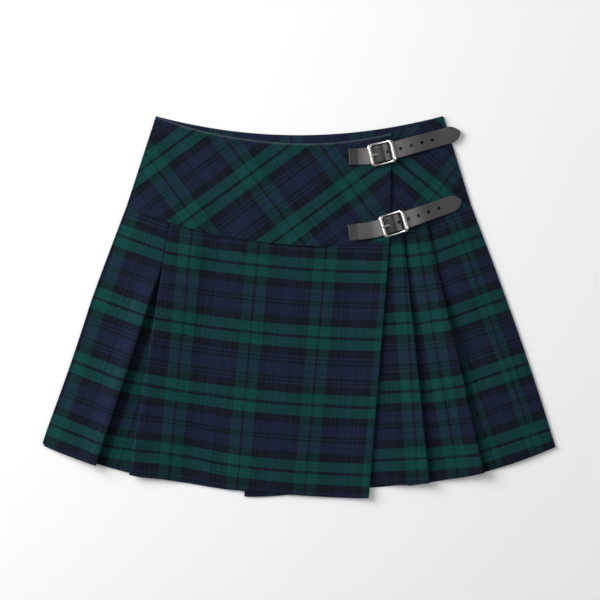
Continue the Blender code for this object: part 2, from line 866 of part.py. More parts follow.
def frame_loop():
    """The buckle's outline as (along, across, outward direction) round its four corners."""
    loop = []
    for quarter in range(4):
        signs = ((1, 1), (-1, 1), (-1, -1), (1, -1))[quarter]
        for i in range(4):
            angle = math.radians(90 * quarter + 30 * i)
            out = Vector((math.cos(angle), math.sin(angle), 0))
            along = signs[0] * (BUCKLE_HALF_LENGTH - BUCKLE_CORNER) + BUCKLE_CORNER * out.x
            across = signs[1] * (BUCKLE_HALF_WIDTH - BUCKLE_CORNER) + BUCKLE_CORNER * out.y
            loop.append((along, across, out))
        middle = math.radians(90 * quarter + 90)
        out = Vector((math.cos(middle), math.sin(middle), 0))
        place = (out.x * BUCKLE_HALF_LENGTH, out.y * BUCKLE_HALF_WIDTH)
        loop.append((*place, out))
    return loop


def buckle_frame(strap, matrix):
    centres, radii, outwards = [], [], []
    for along, across, out in frame_loop():
        centres.append(Vector((along, across, frame_height(along))))
        radii.append((lerp(RAIL_RADIUS, END_BAR_RADIUS, abs(out.x)), RAIL_RADIUS))
        outwards.append(out)
    ring = tube(centres, radii, 8, outwards, closed=True)
    frame = mesh_object(f"buckle_frame_{strap.name}", *moved(ring, matrix), "nickel")
    ends = [Vector((0, side * BUCKLE_HALF_WIDTH, BAR_Z)) for side in (-1, 1)]
    bar_sides = [Vector((1, 0, 0))] * 2
    bar = tube(ends, [(BAR_RADIUS, BAR_RADIUS)] * 2, 10, bar_sides)
    boolean(frame, cutter(f"bar_{strap.name}", [moved(bar, matrix)]), "UNION")


def prong_tube(extra, sides):
    """The prong: a hook round the bar, then a rod through the strap to the near bar."""
    centres, radii = [], []
    for i in range(HOOK_STEPS + 1):
        angle = math.radians(lerp(HOOK_START, HOOK_END, i / HOOK_STEPS))
        spot = Vector((math.cos(angle), 0, math.sin(angle))) * HOOK_PATH
        centres.append(spot + Vector((0, 0, BAR_Z)))
        radii.append(HOOK_RADIUS + extra)
    tip = Vector((-BUCKLE_HALF_LENGTH - PRONG_OVERHANG, 0, PRONG_TIP_Z))
    start = centres[-1]
    for share, radius in PRONG_SHAPE:
        centres.append(start.lerp(tip, share))
        radii.append(radius + extra)
    return tube(centres, [(r, r) for r in radii], sides, None)


def buckle_prong(strap, matrix):
    prong = moved(prong_tube(0, 8), matrix)
    mesh_object(f"buckle_prong_{strap.name}", *prong, "nickel")


def buckle_tab(strap, matrix, height):
    """Leather folded round the bar and sewn to the yoke under the strap."""
    base = matrix.translation.z
    to_buckle = matrix.inverted()
    bend = TAB_BORE + TAB_LEATHER

    def across(along, side):
        """The tab follows the strap's bend, a little to its upper side."""
        x, y = strap_point(strap, max(0.0, along))
        shift = TAB_SHIFT * ramp(along, TAB_FOOT, TAB_SHIFT_END)
        return (to_buckle @ Vector((x, y, 0))).y + shift + side * TAB_HALF

    outline = []
    for i in range(9):
        angle = math.radians(lerp(TAB_WRAP_START, TAB_WRAP_END, i / 8))
        outline.append((bend * math.cos(angle), BAR_Z + bend * math.sin(angle)))
    spots = [lerp(TAB_FOOT, strap.tab_length, i / (TAB_SPOTS - 1)) for i in range(TAB_SPOTS)]
    low = [(along, height(along) - base) for along in spots]
    outline += low + [(along, z + TAB_TAIL) for along, z in reversed(low)]
    points, count = [], len(outline)
    for side in (-1, 1):
        points += [Vector((along, across(along, side), z)) for along, z in outline]
    faces = [tuple(range(count)), tuple(range(count, 2 * count))]
    for k in range(count):
        after = (k + 1) % count
        faces.append((k, after, count + after, count + k))
    tab = mesh_object(f"buckle_tab_{strap.name}", *moved((points, faces), matrix), "leather")
    ends = [Vector((0, side * (TAB_HALF + MM), BAR_Z)) for side in (-1, 1)]
    bore = tube(ends, [(TAB_BORE, TAB_BORE)] * 2, 12, [Vector((1, 0, 0))] * 2)
    boolean(tab, cutter(f"bore_{strap.name}", [moved(bore, matrix)]), "DIFFERENCE")
    slot = box(Vector(SLOT_LOW), Vector(SLOT_HIGH))
    boolean(tab, cutter(f"slot_{strap.name}", [moved(slot, matrix)]), "DIFFERENCE")


def box(low, high):
    points = [
        Vector((x, y, z)) for x in (low.x, high.x) for y in (low.y, high.y) for z in (low.z, high.z)
    ]
    faces = [(0, 1, 3, 2), (4, 6, 7, 5), (0, 4, 5, 1), (2, 3, 7, 6), (0, 2, 6, 4), (1, 5, 7, 3)]
    return points, faces


def strap_holes(strap, matrix, height):
    holes = [moved(prong_tube(PRONG_CLEARANCE, 10), matrix)]
    for along in strap.holes:
        x, y = strap_point(strap, along)
        middle = strap_middle(strap, height, along)
        ends = [Vector((x, y, middle + side * HOLE_CUT)) for side in (-1, 1)]
        holes.append(tube(ends, [(HOLE_RADIUS, HOLE_RADIUS)] * 2, 10, None))
    return holes


def strap_set(strap):
    height = resting_heights(strap)
    matrix = buckle_matrix(strap, height)
    body = strap_body(strap, height)
    buckle_frame(strap, matrix)
    buckle_prong(strap, matrix)
    buckle_tab(strap, matrix, height)
    for number, hole in enumerate(strap_holes(strap, matrix, height)):
        boolean(body, cutter(f"hole_{strap.name}_{number}", [hole]), "DIFFERENCE")


def main():
    for obj in list(bpy.data.objects):
        bpy.data.objects.remove(obj)
    back_panel()
    back_yoke()
    back_facing()
    pleated_front()
    under_yoke()
    front_apron()
    front_yoke()
    for strap in STRAPS:
        strap_set(strap)


main()
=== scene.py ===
"""A tartan wrap skirt laid flat: its cloth, sewing, leather straps, buckles and a plain studio.

Metres, +Z up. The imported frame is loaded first, and the widest sizes and the places of the
buckles and of the under-apron's edge are read from it. Each panel is a closed wall of cloth,
walked through row by row with a half turn at each pressed fold, and carries the flat cloth's
own coordinates, so that the tartan's checks follow the weave through every pleat.
"""

import math
from collections import namedtuple

import bmesh
import bpy
from mathutils import Matrix, Vector


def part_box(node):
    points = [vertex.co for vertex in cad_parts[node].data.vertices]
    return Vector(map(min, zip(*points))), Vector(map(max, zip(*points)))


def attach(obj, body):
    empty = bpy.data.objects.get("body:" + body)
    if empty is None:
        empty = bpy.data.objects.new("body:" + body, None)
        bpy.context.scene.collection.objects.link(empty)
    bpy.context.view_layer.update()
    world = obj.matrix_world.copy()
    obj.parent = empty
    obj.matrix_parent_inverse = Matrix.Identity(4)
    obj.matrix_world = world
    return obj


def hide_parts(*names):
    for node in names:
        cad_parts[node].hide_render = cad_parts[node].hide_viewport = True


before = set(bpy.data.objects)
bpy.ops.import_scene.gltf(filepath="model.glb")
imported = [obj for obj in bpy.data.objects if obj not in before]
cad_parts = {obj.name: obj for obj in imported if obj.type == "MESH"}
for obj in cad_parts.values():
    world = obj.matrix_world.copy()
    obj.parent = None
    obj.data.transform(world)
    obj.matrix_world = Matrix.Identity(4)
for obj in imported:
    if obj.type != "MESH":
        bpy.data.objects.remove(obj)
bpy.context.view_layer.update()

bl_info = {
    "name": "Tartan wrap skirt",
    "version": (1, 0, 0),
    "blender": (4, 5, 0),
    "location": "3D View > Sidebar > Skirt",
    "description": "Builds a pleated tartan wrap skirt with two buckled leather straps",
    "category": "Mesh",
}

MM = 0.001
BODY = "root"

# Cloth
CLOTH = 1.2 * MM
FACING_CLOTH = 1.0 * MM
LAYER_GAP = 0.35 * MM
SEAM_GAP = 0.08 * MM
REST_GAP = 0.3 * MM
PLY = CLOTH + LAYER_GAP

# Outline, as half widths and heights on the plane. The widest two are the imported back's own
WAIST_HALF = 164.5 * MM
SEAM_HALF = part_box("back_yoke")[1].x
HEM_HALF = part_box("back_panel")[1].x
SIDE_BOW = 2.6 * MM
WAIST_SIDE_Y = 219.0 * MM
SEAM_SIDE_Y = 116.2 * MM
HEM_SIDE_Y = -159.3 * MM
FRONT_WAIST_SAG = 33.0 * MM
BACK_WAIST_SAG = 21.9 * MM
SEAM_SAG = 42.6 * MM
HEM_SAG = 53.5 * MM
HEM_POWER = 2.4
YOKE_LENGTH = 112.0 * MM
SKIRT_LENGTH = 278.0 * MM

# The wrap: the over-apron hangs a little lower towards its free edge
APRON_DROP = 9.5 * MM
APRON_DROP_REACH = 150 * MM
APRON_DROP_POWER = 1.15
APRON_LIFT = 3.4 * MM
APRON_LIFT_REACH = 35 * MM
LIFTED_SHARE = 0.3
HEM_CORNER_DROP = 6.8 * MM
CORNER_SHARE = 0.3
FACE_HEM_RISE = 5.0 * MM
UNDERLAY_HEM_RISE = 2.0 * MM
BACK_HEM_RISE = 2.0 * MM
RISEN_SHARE = 0.5

# Unevenness of the outline once the skirt is laid down
LEFT_TUCK = 1.8 * MM
LEFT_TUCK_TOP = 8 * MM
LEFT_TUCK_LENGTH = 150 * MM
WAIST_SPREAD = 1.3 * MM
APRON_HEM_RISE = 2.9 * MM
APRON_HEM_FROM = (-190 * MM, -152 * MM)
APRON_HEM_TO = (-135 * MM, -72 * MM)
RIGHT_HEM_FALL = 2.0 * MM
RIGHT_HEM_FROM = (165 * MM, 200 * MM)
HEM_ZONE = (-100 * MM, -160 * MM)
EDGE_POWER = 6

# Pleats
PLEAT_DEPTH_TOP = 18 * MM
PLEAT_DEPTH_HEM = 25 * MM
PLEAT_GAP_HEM = 1.0 * MM
PLEAT_RISE = 45 * MM
EDGE_CLIMB = 28 * MM
YOKE_LIFT = 2.6 * MM
YOKE_FREE = (0.27, 0.74)
YOKE_FREE_POWER = 0.7
SEAM_LAP = 1.3 * MM
SEAM_RISE = 2.4 * MM
SEAM_LAP_SHARE = 0.14
SEAM_LAP_SIDE = 14 * MM
SEAM_LAP_END = (26 * MM, 44 * MM)
UNDERLAY_HUMP = 0.6 * MM
UNDERLAY_BLACK = 6 * MM
UNDERLAY_CREASE = 0.36
FACE_SWELL = 1.4 * MM
STITCHED_SHARE = 1 / 6
LEFT_FOLD_LIFT = 8.0 * MM
RIGHT_FOLD_LIFT = 3.6 * MM
FIRST_FOLD_LIFT = 4.4 * MM
SECOND_FOLD_LIFT = 6.6 * MM
FOLD_LIFT_REACH = 24 * MM
LEFT_LIFT_FULL = 0.34
FOLD_LIFT_FULL = 0.45
INNER_LIFT_SHARE = 0.75

# Side seams, a little in front of the side folds
SIDE_INSET_LEFT = 2.2 * MM
SIDE_INSET_WAIST = 4.6 * MM
SIDE_INSET_HEM = 2.4 * MM
SIDE_LEVEL_SEAM = 2.6 * MM
SIDE_LEVEL_HEM = 3.2 * MM

# Facing inside the back waist
FACING_DEPTH = 30 * MM
FACING_EDGE = 1.2 * MM
FACING_SIDE = 3.2 * MM
FACING_SHARE = 0.6

# Straps: leather, and where it bends, rests and is sewn and punched, and where a grey painted
# highlight lightens it
LEATHER = 1.8 * MM
LEATHER_CORNER = 0.55 * MM
LEATHER_DOME = 0.12 * MM
STRAP_HALF = 9.6 * MM
STRAP_STEP = 1.2 * MM
SECTION_CORNER_STEPS = 3
SECTION_FLAT_STEPS = 12
STRAP_END_BEND = (4 * MM, 34 * MM)
STRAP_TIP = 13.5 * MM
TIP_POINT = 2.2
TIP_ROUND = 0.78
TIP_STEPS = 16
STRAP_CLIMB = 13.5 * MM
STRAP_CREST = 1 * MM
STRAP_DIP = 12 * MM
STRAP_SETTLE = 26 * MM
# The straps' painted highlight: its reach right and left of the buckle, its least share, its rise at
# the frame's edge, and a band past the bar
PAINTED_LIGHT_RIGHT = 30 * MM
PAINTED_LIGHT_LEFT = 17 * MM
PAINTED_LIGHT_LEAST = 0.2
PAINTED_LIGHT_EDGE = 1.5 * MM
PAINTED_LIGHT_CREST = (1.4 * MM, 4 * MM)
PAINTED_LIGHT_BAND = (6 * MM, 9 * MM)
NECK_RISE = 0.6 * MM
NECK_START = -27 * MM
SEWN_LENGTH = 10.4 * MM
SEWN_SLOPE = 1.6 * MM
SEWN_DEPTH = 0.28 * MM
SEAM_INSET = 1.5 * MM
THREAD_RADIUS = 0.3 * MM
STITCH_SHARE = 0.4
STITCH_PATH_STEPS = 8
STITCH_SIDES = 10
STITCH_RINGS = 8
REST_SAMPLE = 2 * MM
REST_MARGIN = 1 * MM
REST_SHARES = (-1, -0.5, 0, 0.5, 1)
REST_REACH = 4
SHARE_ROUNDS = 8
LOWEST_SHARE = -0.3
TIP_DROOP = 0.1
HOLE_RADIUS = 1.5 * MM
HOLE_RIM = 0.35 * MM
HOLE_CUT = 4 * MM
HOLE_SIDES = 24

# Buckles: frame, middle bar, prong and the tab that holds the bar
BUCKLE_HALF_LENGTH = 12.85 * MM
BUCKLE_HALF_WIDTH = 11.7 * MM
BUCKLE_CORNER = 3.4 * MM
CORNER_STEPS = 8
SIDE_STEPS = 6
ROUND_SIDES = 20
PRONG_SIDES = 16
BASE_SAMPLES = 8
RAIL_RADIUS = 1.4 * MM
END_BAR_RADIUS = 2.45 * MM
NEAR_BAR_Z = 4.4 * MM
FAR_BAR_Z = 7.0 * MM
FRAME_SAG = 2.2 * MM
BAR_RADIUS = 1.2 * MM
BAR_Z = 2.95 * MM
HOOK_RADIUS = 0.7 * MM
HOOK_PATH = BAR_RADIUS + 0.35 * MM + HOOK_RADIUS
PRONG_RADIUS = 1.15 * MM
PRONG_FLAT = 1.25
# Shares of the way to the prong's tip, and of its radius there
PRONG_SHAPE = ((0.1, 1.0), (0.3, 1.0), (0.75, 1.0), (0.9, 0.93), (1, 0.75))
PRONG_TIP_Z = 7.5 * MM
PRONG_OVERHANG = 0.8 * MM
PRONG_CLEARANCE = 0.35 * MM
HOOK_START = -150
HOOK_END = 84
HOOK_STEPS = 16
TAB_HALF = 8.9 * MM
TAB_SHIFT = 1.5 * MM
TAB_SHIFT_END = 16 * MM
TAB_LEATHER = 1.0 * MM
TAB_BORE = BAR_RADIUS + REST_GAP
TAB_WRAP_START = 60
TAB_WRAP_END = 270
TAB_WRAP_STEPS = 16
TAB_FOOT = 5 * MM
TAB_SPOTS = 16
TAB_TAIL = 2 * TAB_LEATHER
SLOT_HALF = 2.2 * MM
SLOT_LOW = (-5 * MM, -SLOT_HALF, -3 * MM)
SLOT_HIGH = (3.7 * MM, SLOT_HALF, 8 * MM)
STRAP_HUMP = BAR_Z + HOOK_PATH + HOOK_RADIUS + REST_GAP
SHARP_ANGLE = 40

# Fineness of the walls: columns are about 3 mm apart where the cloth shows
ROW_STEP = 3.6 * MM
LEFT_FACE_COLUMNS = 20
UNDERLAY_COLUMNS = 27
OVER_APRON_COLUMNS = 92
UNDER_APRON_COLUMNS = 67
SECOND_FACE_COLUMNS = 25
THIRD_FACE_COLUMNS = 33
HIDDEN_COLUMNS = 4
BACK_COLUMNS = 167
TURNED_COLUMNS = 2
FRONT_YOKE_COLUMNS = 93
UNDER_YOKE_COLUMNS = 77
FACING_COLUMNS = 110
FOLD_STEPS = 8
# A wall's round rim: how far in from the edge, and how much of its thickness is reached
RIM = ((0, 0), (0.134, 0.5), (0.5, 0.866), (1, 1))
MERGE = 0.0002 * MM
PROBE = 0.05 * MM

Leg = namedtuple("Leg", "level edge bulge columns")
FoldLine = namedtuple("FoldLine", "seam_x hem_x")
Grain = namedtuple("Grain", "x y warp_x warp_y weft_x weft_y bow weft_threads")
Crease = namedtuple("Crease", "x y to_x to_y bow width height")
Strap = namedtuple(
    "Strap",
    "name bar left_turn turn end_turn frame_turn bend left_length length holes tab_length",
)
Lamp = namedtuple("Lamp", "name place width power")

FOLD_LINES = {
    "left_pleat": FoldLine(-148.7 * MM, -195.0 * MM),
    "apron_edge": FoldLine(104.1 * MM, 80.0 * MM),
    "under_edge": FoldLine(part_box("under_yoke")[0].x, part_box("pleated_front")[0].x),
    "pleat_a": FoldLine(119.7 * MM, 150.3 * MM),
    "pleat_b": FoldLine(147.3 * MM, 212.6 * MM),
}
LEFT_PLEAT_SPREAD = 37.4 * MM
YOKE_EDGE_WAIST_X = 106.2 * MM
UNDER_WAIST_HANGS = (55 * MM, 118 * MM)
UNDER_HANG_FROM = 0.6
WAIST_HELD = 0.72
WAIST_RISE = 1.8 * MM
WAIST_RISEN = (-150 * MM, -60 * MM)


def bar_place(name):
    """Middle of a packed buckle on the plane, which is the middle of its bar."""
    low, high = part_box(f"buckle_frame_{name}")
    return (low.x + high.x) / 2, (low.y + high.y) / 2


# Turns are in degrees. Lengths run along a strap, and its holes are measured from the bar
STRAPS = (
    Strap(
        name="upper",
        bar=bar_place("upper"),
        left_turn=2.0,
        turn=13.8,
        end_turn=15.6,
        frame_turn=12.4,
        bend=(-22 * MM, -4 * MM),
        left_length=38.1 * MM,
        length=131.7 * MM,
        holes=(7.1 * MM, 22.2 * MM, 34.9 * MM, 47.6 * MM, 60.0 * MM),
        tab_length=45 * MM,
    ),
    Strap(
        name="lower",
        bar=bar_place("lower"),
        left_turn=7.0,
        turn=17.0,
        end_turn=19.8,
        frame_turn=16.6,
        bend=(-36 * MM, -11 * MM),
        left_length=52.3 * MM,
        length=135.2 * MM,
        holes=(6.7 * MM, 18.3 * MM, 30.2 * MM, 42.8 * MM, 55.5 * MM),
        tab_length=32 * MM,
    ),
)

BASE_LEVEL = CLOTH + LAYER_GAP + CLOTH / 2
WAIST_LEVEL = CLOTH + REST_GAP + FACING_CLOTH + LAYER_GAP + CLOTH / 2

# The tartan: the thread that each stripe starts at, from the middle of one blue block to the
# middle of the next. The warp turns back at the middle of the green band between them
HALF_SETT = 150
GREEN_MIDDLE = 75
BLACK_MIDDLE = 41
FACING_MIDDLE = 119
SETT = (
    (0, "blue"),
    (14, "black"),
    (19, "blue"),
    (23, "black"),
    (27, "blue"),
    (32, "black"),
    (50, "green"),
    (72, "black"),
    (78, "green"),
    (100, "black"),
    (118, "blue"),
    (143, "black"),
    (148, "blue"),
)
# Height of the back's lowest green band over its hem
WEFT_START = 26.8 * MM

# The wool's yarns. Its hairs are too fine to show, so they are drawn as coarser flecks
YARNS_PER_COUNT = 2.0
TWILL_REPEAT = 3.0
WANDER = 0.5 * MM
WANDER_LENGTH = 11.11 * MM
# Changes in a yarn's depth of colour for each thread, across and along a streak
STREAK_ACROSS = 0.35
STREAK_ALONG = 0.006
STREAK_SHADES = (0.72, 1.28)
FLECK = 0.3846 * MM
FLECK_SHADES = (0.8, 1.2)
YARN_ROUNDNESS = -3.0
YARN_RELIEF = 0.12 * MM
# A painted highlight: a lighter colour mixed into the wool along a fold and an edge, where the
# rounded rim catches the light
EDGE_LIGHT_FALL = 3.0
EDGE_LIGHT_SHARE = 0.17
FOLD_EDGE_LIGHT = 0.55

# The other finishes' patterns
PEBBLE = 0.7143 * MM
WRINKLE = 3.846 * MM
WRINKLE_SHARE = 1.5
LEATHER_RELIEF = 0.15 * MM
LEATHER_ROUGHNESS = (0.36, 0.46)
# From one strand of the twisted thread to the next. A diagonal wave's crests are
# 2 pi / (10 sqrt(3)) apart at a scale of 1
TWIST = 0.5182 * MM
WAVE_CRESTS = 0.36276
TWIST_RELIEF = 0.05 * MM
HANDLED = 3.333 * MM
HANDLED_SHARES = (0.8, 1.2)
# The paper's fibres are too fine to show, so it has a faint, much coarser unevenness
PAPER_SWELL = 13.333 * MM
PAPER_RELIEF = 0.1 * MM
# Where most of a noise's values lie, and most of two noises' sums
NOISE_RANGE = (0.3, 0.7)
SUM_RANGE = (0.7, 1.3)

# How the weave lies on each visible face: a crossing of two green bands, the steps from it by
# half a sett of warp and of weft, how far the weft's lines bow in 100 mm, and the weft thread
# of the crossing
BOW_REACH = 100 * MM
APRON_GRAIN = Grain(
    8.5 * MM, -190.7 * MM, 77.7 * MM, -5.1 * MM, 7.0 * MM, 77.4 * MM, 3.3 * MM, 75
)
FIRST_FACE_GRAIN = Grain(
    125.2 * MM, -19.0 * MM, 80.6 * MM, 4.1 * MM, -4.7 * MM, 77.8 * MM, 0, 75
)
SECOND_FACE_GRAIN = Grain(
    152.3 * MM, -17.5 * MM, 71.9 * MM, 11.2 * MM, -13.3 * MM, 77.2 * MM, 0, 75
)
THIRD_FACE_GRAIN = Grain(
    213.6 * MM, 1.0 * MM, 47.0 * MM, 16.4 * MM, -26.2 * MM, 73.3 * MM, -3.5 * MM, 75
)
LEFT_FACE_GRAIN = Grain(
    -234.6 * MM, 10.1 * MM, 93.4 * MM, -34.6 * MM, 26.1 * MM, 72.8 * MM, 1.9 * MM, 375
)
YOKE_GRAIN = Grain(
    -55.2 * MM, 152.5 * MM, 67.0 * MM, 49.1 * MM, 47.3 * MM, -62.9 * MM, 0, 225
)
UNDER_YOKE_GRAIN = Grain(
    157.5 * MM, 130.4 * MM, 56.6 * MM, -47.6 * MM, 46.5 * MM, 60.4 * MM, 0, 225
)
FACING_GRAIN = (-8.6 * MM, 81.0 * MM)

# A crease fades in and out round its two ends, by shares of its length
CREASE_FADE_IN = (-0.2, 0.3)
CREASE_FADE_OUT = (0.7, 1.2)


def creases(*rows):
    """Creases from rows of their values in mm."""
    return [Crease(*(value * MM for value in row)) for row in rows]


# Soft folds in the cloth, in mm: start, end, bow, width and height, as ridges (+)
# and troughs (-)
TOP_CREASES = creases(
    (-118.5, 81, -116, 7, 2, 5, 0.8),
    (-107, 79, -103.5, 19, 1, 5, -0.6),
    (-63, 66, -62, -4, 1, 4.5, 0.55),
    (-197, 65, -222, -27, -4, 9, 1.0),
    (-215, 36, -238, -67, 3, 9, -0.9),
    (-252, -79, -268, -142, 2, 8, 0.8),
    (238, -61, 259, -136, 3, 7, 1.1),
    (251, -79, 267, -125, 2, 6, -0.8),
    (206, 51, 215, -15.5, -2, 8, -0.9),
    (192, 59, 201, 7.5, 2, 6, 0.7),
    (35.6, -107, 61, -205, 4, 16, -0.8),
    (-42.5, -102, -56, -199, 5, 20, 0.9),
    (-141, -142, -155, -188, -2, 9, 0.8),
    (-154, 191, -131, 122, 5, 12, -0.7),
    (-50.6, 180, -58.6, 94, -6, 14, 0.6),
    (145, -27, 157.5, -130, 2, 6, 0.6),
    (107, -27, 100, -153, 2, 6, -0.6),
    (-96.6, -182, -100, -208, 1, 14, 0.8),
)
# Ridges that lift every layer off the table, so that the back has them too
DEEP_CREASES = creases(
    (-118, 120, -146, -40, 8, 14, 1.0),
    (-20, -30, 15, -200, -7, 16, 1.2),
    (74, -60, 92, -190, 5, 12, 0.9),
    (-205, -60, -216, -150, -4, 12, 1.0),
    (12, 160, -14, 60, 4, 12, 0.7),
    (188, -60, 222, -150, 6, 12, 0.9),
)

# The studio, in metres and watts: soft light from the waist's left, and the photo's middle
LAMPS = (
    Lamp("softbox_left", (-1.85, 1.0, 1.5), 1.6, 72.0),
    Lamp("softbox_top", (-0.5, 0.2, 3.3), 1.6, 15.0),
    Lamp("softbox_right", (1.6, 0.1, 1.65), 0.6, 5.8),
)
WORLD_STRENGTH = 0.2
FLOOR_HALF = 6.0
FLOOR_DEPTH = 0.1 * MM
SENSOR_WIDTH = 36
VIEW_MIDDLE = (1.15 * MM, 7.53 * MM)


class ClothSettings(bpy.types.PropertyGroup):
    """Sizes and colours of the tartan wool"""

    thread: bpy.props.FloatProperty(
        name="Thread spacing",
        description="Distance from one warp thread to the next",
        default=0.516 * MM,
        min=0.2 * MM,
        precision=6,
        unit="LENGTH",
    )
    blue: bpy.props.StringProperty(
        name="Blue yarn", description="sRGB hex colour of the blue yarn", default="#192037"
    )
    green: bpy.props.StringProperty(
        name="Green yarn", description="sRGB hex colour of the green yarn", default="#0c3e3c"
    )
    black: bpy.props.StringProperty(
        name="Black yarn", description="sRGB hex colour of the black yarn", default="#10151c"
    )
    # Colour of the painted highlight mixed in along folds and edges
    painted_edge_light: bpy.props.StringProperty(
        name="Raised nap",
        description="sRGB hex colour of the hairs along folds and edges",
        default="#8f9a9c",
    )
    crease: bpy.props.FloatProperty(
        name="Creasing",
        description="Share of the full height of the cloth's soft folds and hollows",
        default=1.0,
        min=0.0,
        max=1.0,
        subtype="FACTOR",
    )


class StrapSettings(bpy.types.PropertyGroup):
    """Sizes and colours of the leather straps and their sewing"""

    leather: bpy.props.StringProperty(
        name="Leather", description="sRGB hex colour of the dyed leather", default="#1e1e1e"
    )
    # Grey of the painted highlight that stands in for the leather's shine near the buckles
    painted_light: bpy.props.StringProperty(
        name="Painted light on the leather",
        description="Grey of the leather where it is rubbed",
        default="#716f6d",
    )
    thread: bpy.props.StringProperty(
        name="Sewing thread", description="sRGB hex colour of the sewing thread", default="#3a3937"
    )
    stitch: bpy.props.FloatProperty(
        name="Stitch length",
        description="Length of one stitch in the straps' ends",
        default=2.4 * MM,
        min=1 * MM,
        precision=4,
        unit="LENGTH",
    )


class MetalSettings(bpy.types.PropertyGroup):
    """Finish of the buckles"""

    nickel: bpy.props.StringProperty(
        name="Nickel", description="sRGB hex colour of the plated metal", default="#e8e7e4"
    )
    roughness: bpy.props.FloatProperty(
        name="Polish",
        description="Roughness of the polished plating",
        default=0.2,
        min=0.02,
        max=1.0,
        subtype="FACTOR",
    )


class StudioSettings(bpy.types.PropertyGroup):
    """Floor, light and camera"""

    floor: bpy.props.StringProperty(
        name="Floor", description="sRGB hex colour of the paper floor", default="#fbfbfc"
    )
    view_width: bpy.props.FloatProperty(
        name="View width",
        description="Width of the floor that the camera sees",
        default=690 * MM,
        min=100 * MM,
        unit="LENGTH",
    )
    height: bpy.props.FloatProperty(
        name="Camera height",
        description="Height of the camera over the floor",
        default=3.0,
        min=0.5,
        unit="LENGTH",
    )


def linear(hex_colour):
    """An sRGB hex colour as linear red, green, blue and alpha."""
    channels = []
    for start in (1, 3, 5):
        value = int(hex_colour[start : start + 2], 16) / 255
        channels.append(value / 12.92 if value <= 0.04045 else ((value + 0.055) / 1.055) ** 2.4)
    return (*channels, 1.0)


def lerp(a, b, share):
    return a + (b - a) * share


def clamp(share):
    return min(1.0, max(0.0, share))


def ramp(x, start, end):
    """0 before start, 1 after end, and smooth between them."""
    share = clamp((x - start) / (end - start))
    return share * share * (3 - 2 * share)


# The outline


def half_width(t):
    """Half width of the skirt part, at share t of the way from the yoke seam to the hem."""
    return lerp(SEAM_HALF, HEM_HALF, t) + SIDE_BOW * math.sin(math.pi * t)


def yoke_half_width(v):
    """Half width of the yoke, at share v of the way from its seam to the waist."""
    return lerp(SEAM_HALF, WAIST_HALF, v)


def seam_y(c):
    """Height of the yoke seam, at share c of its half width from the middle."""
    return SEAM_SIDE_Y - SEAM_SAG * (1 - c * c)


def hem_y(c):
    """Height of the hem."""
    return HEM_SIDE_Y - HEM_SAG * (1 - abs(c) ** HEM_POWER)


def front_waist_y(c):
    """Height of the front waist, which is cut lower than the back's."""
    return WAIST_SIDE_Y - FRONT_WAIST_SAG * (1 - c * c)


def back_waist_y(c):
    """Height of the back waist."""
    return WAIST_SIDE_Y - BACK_WAIST_SAG * (1 - c * c)


def line_x(name, t):
    """Where a fold or a free edge crosses the skirt at share t."""
    line = FOLD_LINES[name]
    return lerp(line.seam_x, line.hem_x, t)


def yoke_edge_x(v):
    """The front yoke's free edge."""
    return lerp(FOLD_LINES["apron_edge"].seam_x, YOKE_EDGE_WAIST_X, v)


def apron_drop(x, edge_x):
    """How far the over-apron and its yoke hang below the other panels at x."""
    near = max(0.0, 1 - (edge_x - x) / APRON_DROP_REACH)
    return APRON_DROP * near**APRON_DROP_POWER


def settled(x, y):
    """Where a point of the drawn outline lies on the real, slightly uneven one."""
    t = (SEAM_SIDE_Y - y) / (SEAM_SIDE_Y - HEM_SIDE_Y)
    half = half_width(t) if t > 0 else yoke_half_width((y - SEAM_SIDE_Y) / YOKE_LENGTH)
    near_edge = min(1.0, abs(x) / half) ** EDGE_POWER
    hem = ramp(-y, -HEM_ZONE[0], -HEM_ZONE[1])
    rise = APRON_HEM_RISE * ramp(x, *APRON_HEM_FROM) * (1 - ramp(x, *APRON_HEM_TO))
    fall = RIGHT_HEM_FALL * ramp(x, *RIGHT_HEM_FROM)
    if x < 0:
        share = clamp((LEFT_TUCK_TOP - y) / LEFT_TUCK_LENGTH)
        x += LEFT_TUCK * math.sin(math.pi * share) * near_edge
    else:
        x += WAIST_SPREAD * near_edge * ramp(y, SEAM_SIDE_Y, WAIST_SIDE_Y)
    return x, y + (rise - fall) * hem


def right_inset(t):
    """How far the right side seam lies in from the side fold."""
    return lerp(SIDE_INSET_WAIST, SIDE_INSET_HEM, t)


# Heights of the cloth's middle above the plane


def side_level(t):
    """Level of the seams at both sides."""
    return lerp(SIDE_LEVEL_SEAM, SIDE_LEVEL_HEM, t)


def yoke_side_level(v):
    """Level of the yoke's side seams, over the facing at the waist."""
    return lerp(SIDE_LEVEL_SEAM, WAIST_LEVEL, ramp(v, 0, FACING_SHARE))


def pitch(t):
    """Height from one layer of a pleat to the next: the pleats open towards the hem."""
    return CLOTH + lerp(LAYER_GAP, PLEAT_GAP_HEM, ramp(t, STITCHED_SHARE, 1))


def pleat_depth(t):
    """How far a pleat goes in behind its fold."""
    return lerp(PLEAT_DEPTH_TOP, PLEAT_DEPTH_HEM, t)


def pleat_top(t):
    """Level of a pleat's visible face, with two layers under it."""
    return BASE_LEVEL + 2 * pitch(t)


def left_fold_x(t):
    """Left edge of the inverted pleat, which opens below its stitched part."""
    share = max(0.0, (t - STITCHED_SHARE) / (1 - STITCHED_SHARE))
    return line_x("left_pleat", t) - SEAM_GAP / 2 - LEFT_PLEAT_SPREAD * share


def right_fold_x(t):
    """Right edge of the inverted pleat, a straight line from the yoke seam to the hem."""
    return line_x("left_pleat", t) + SEAM_GAP / 2


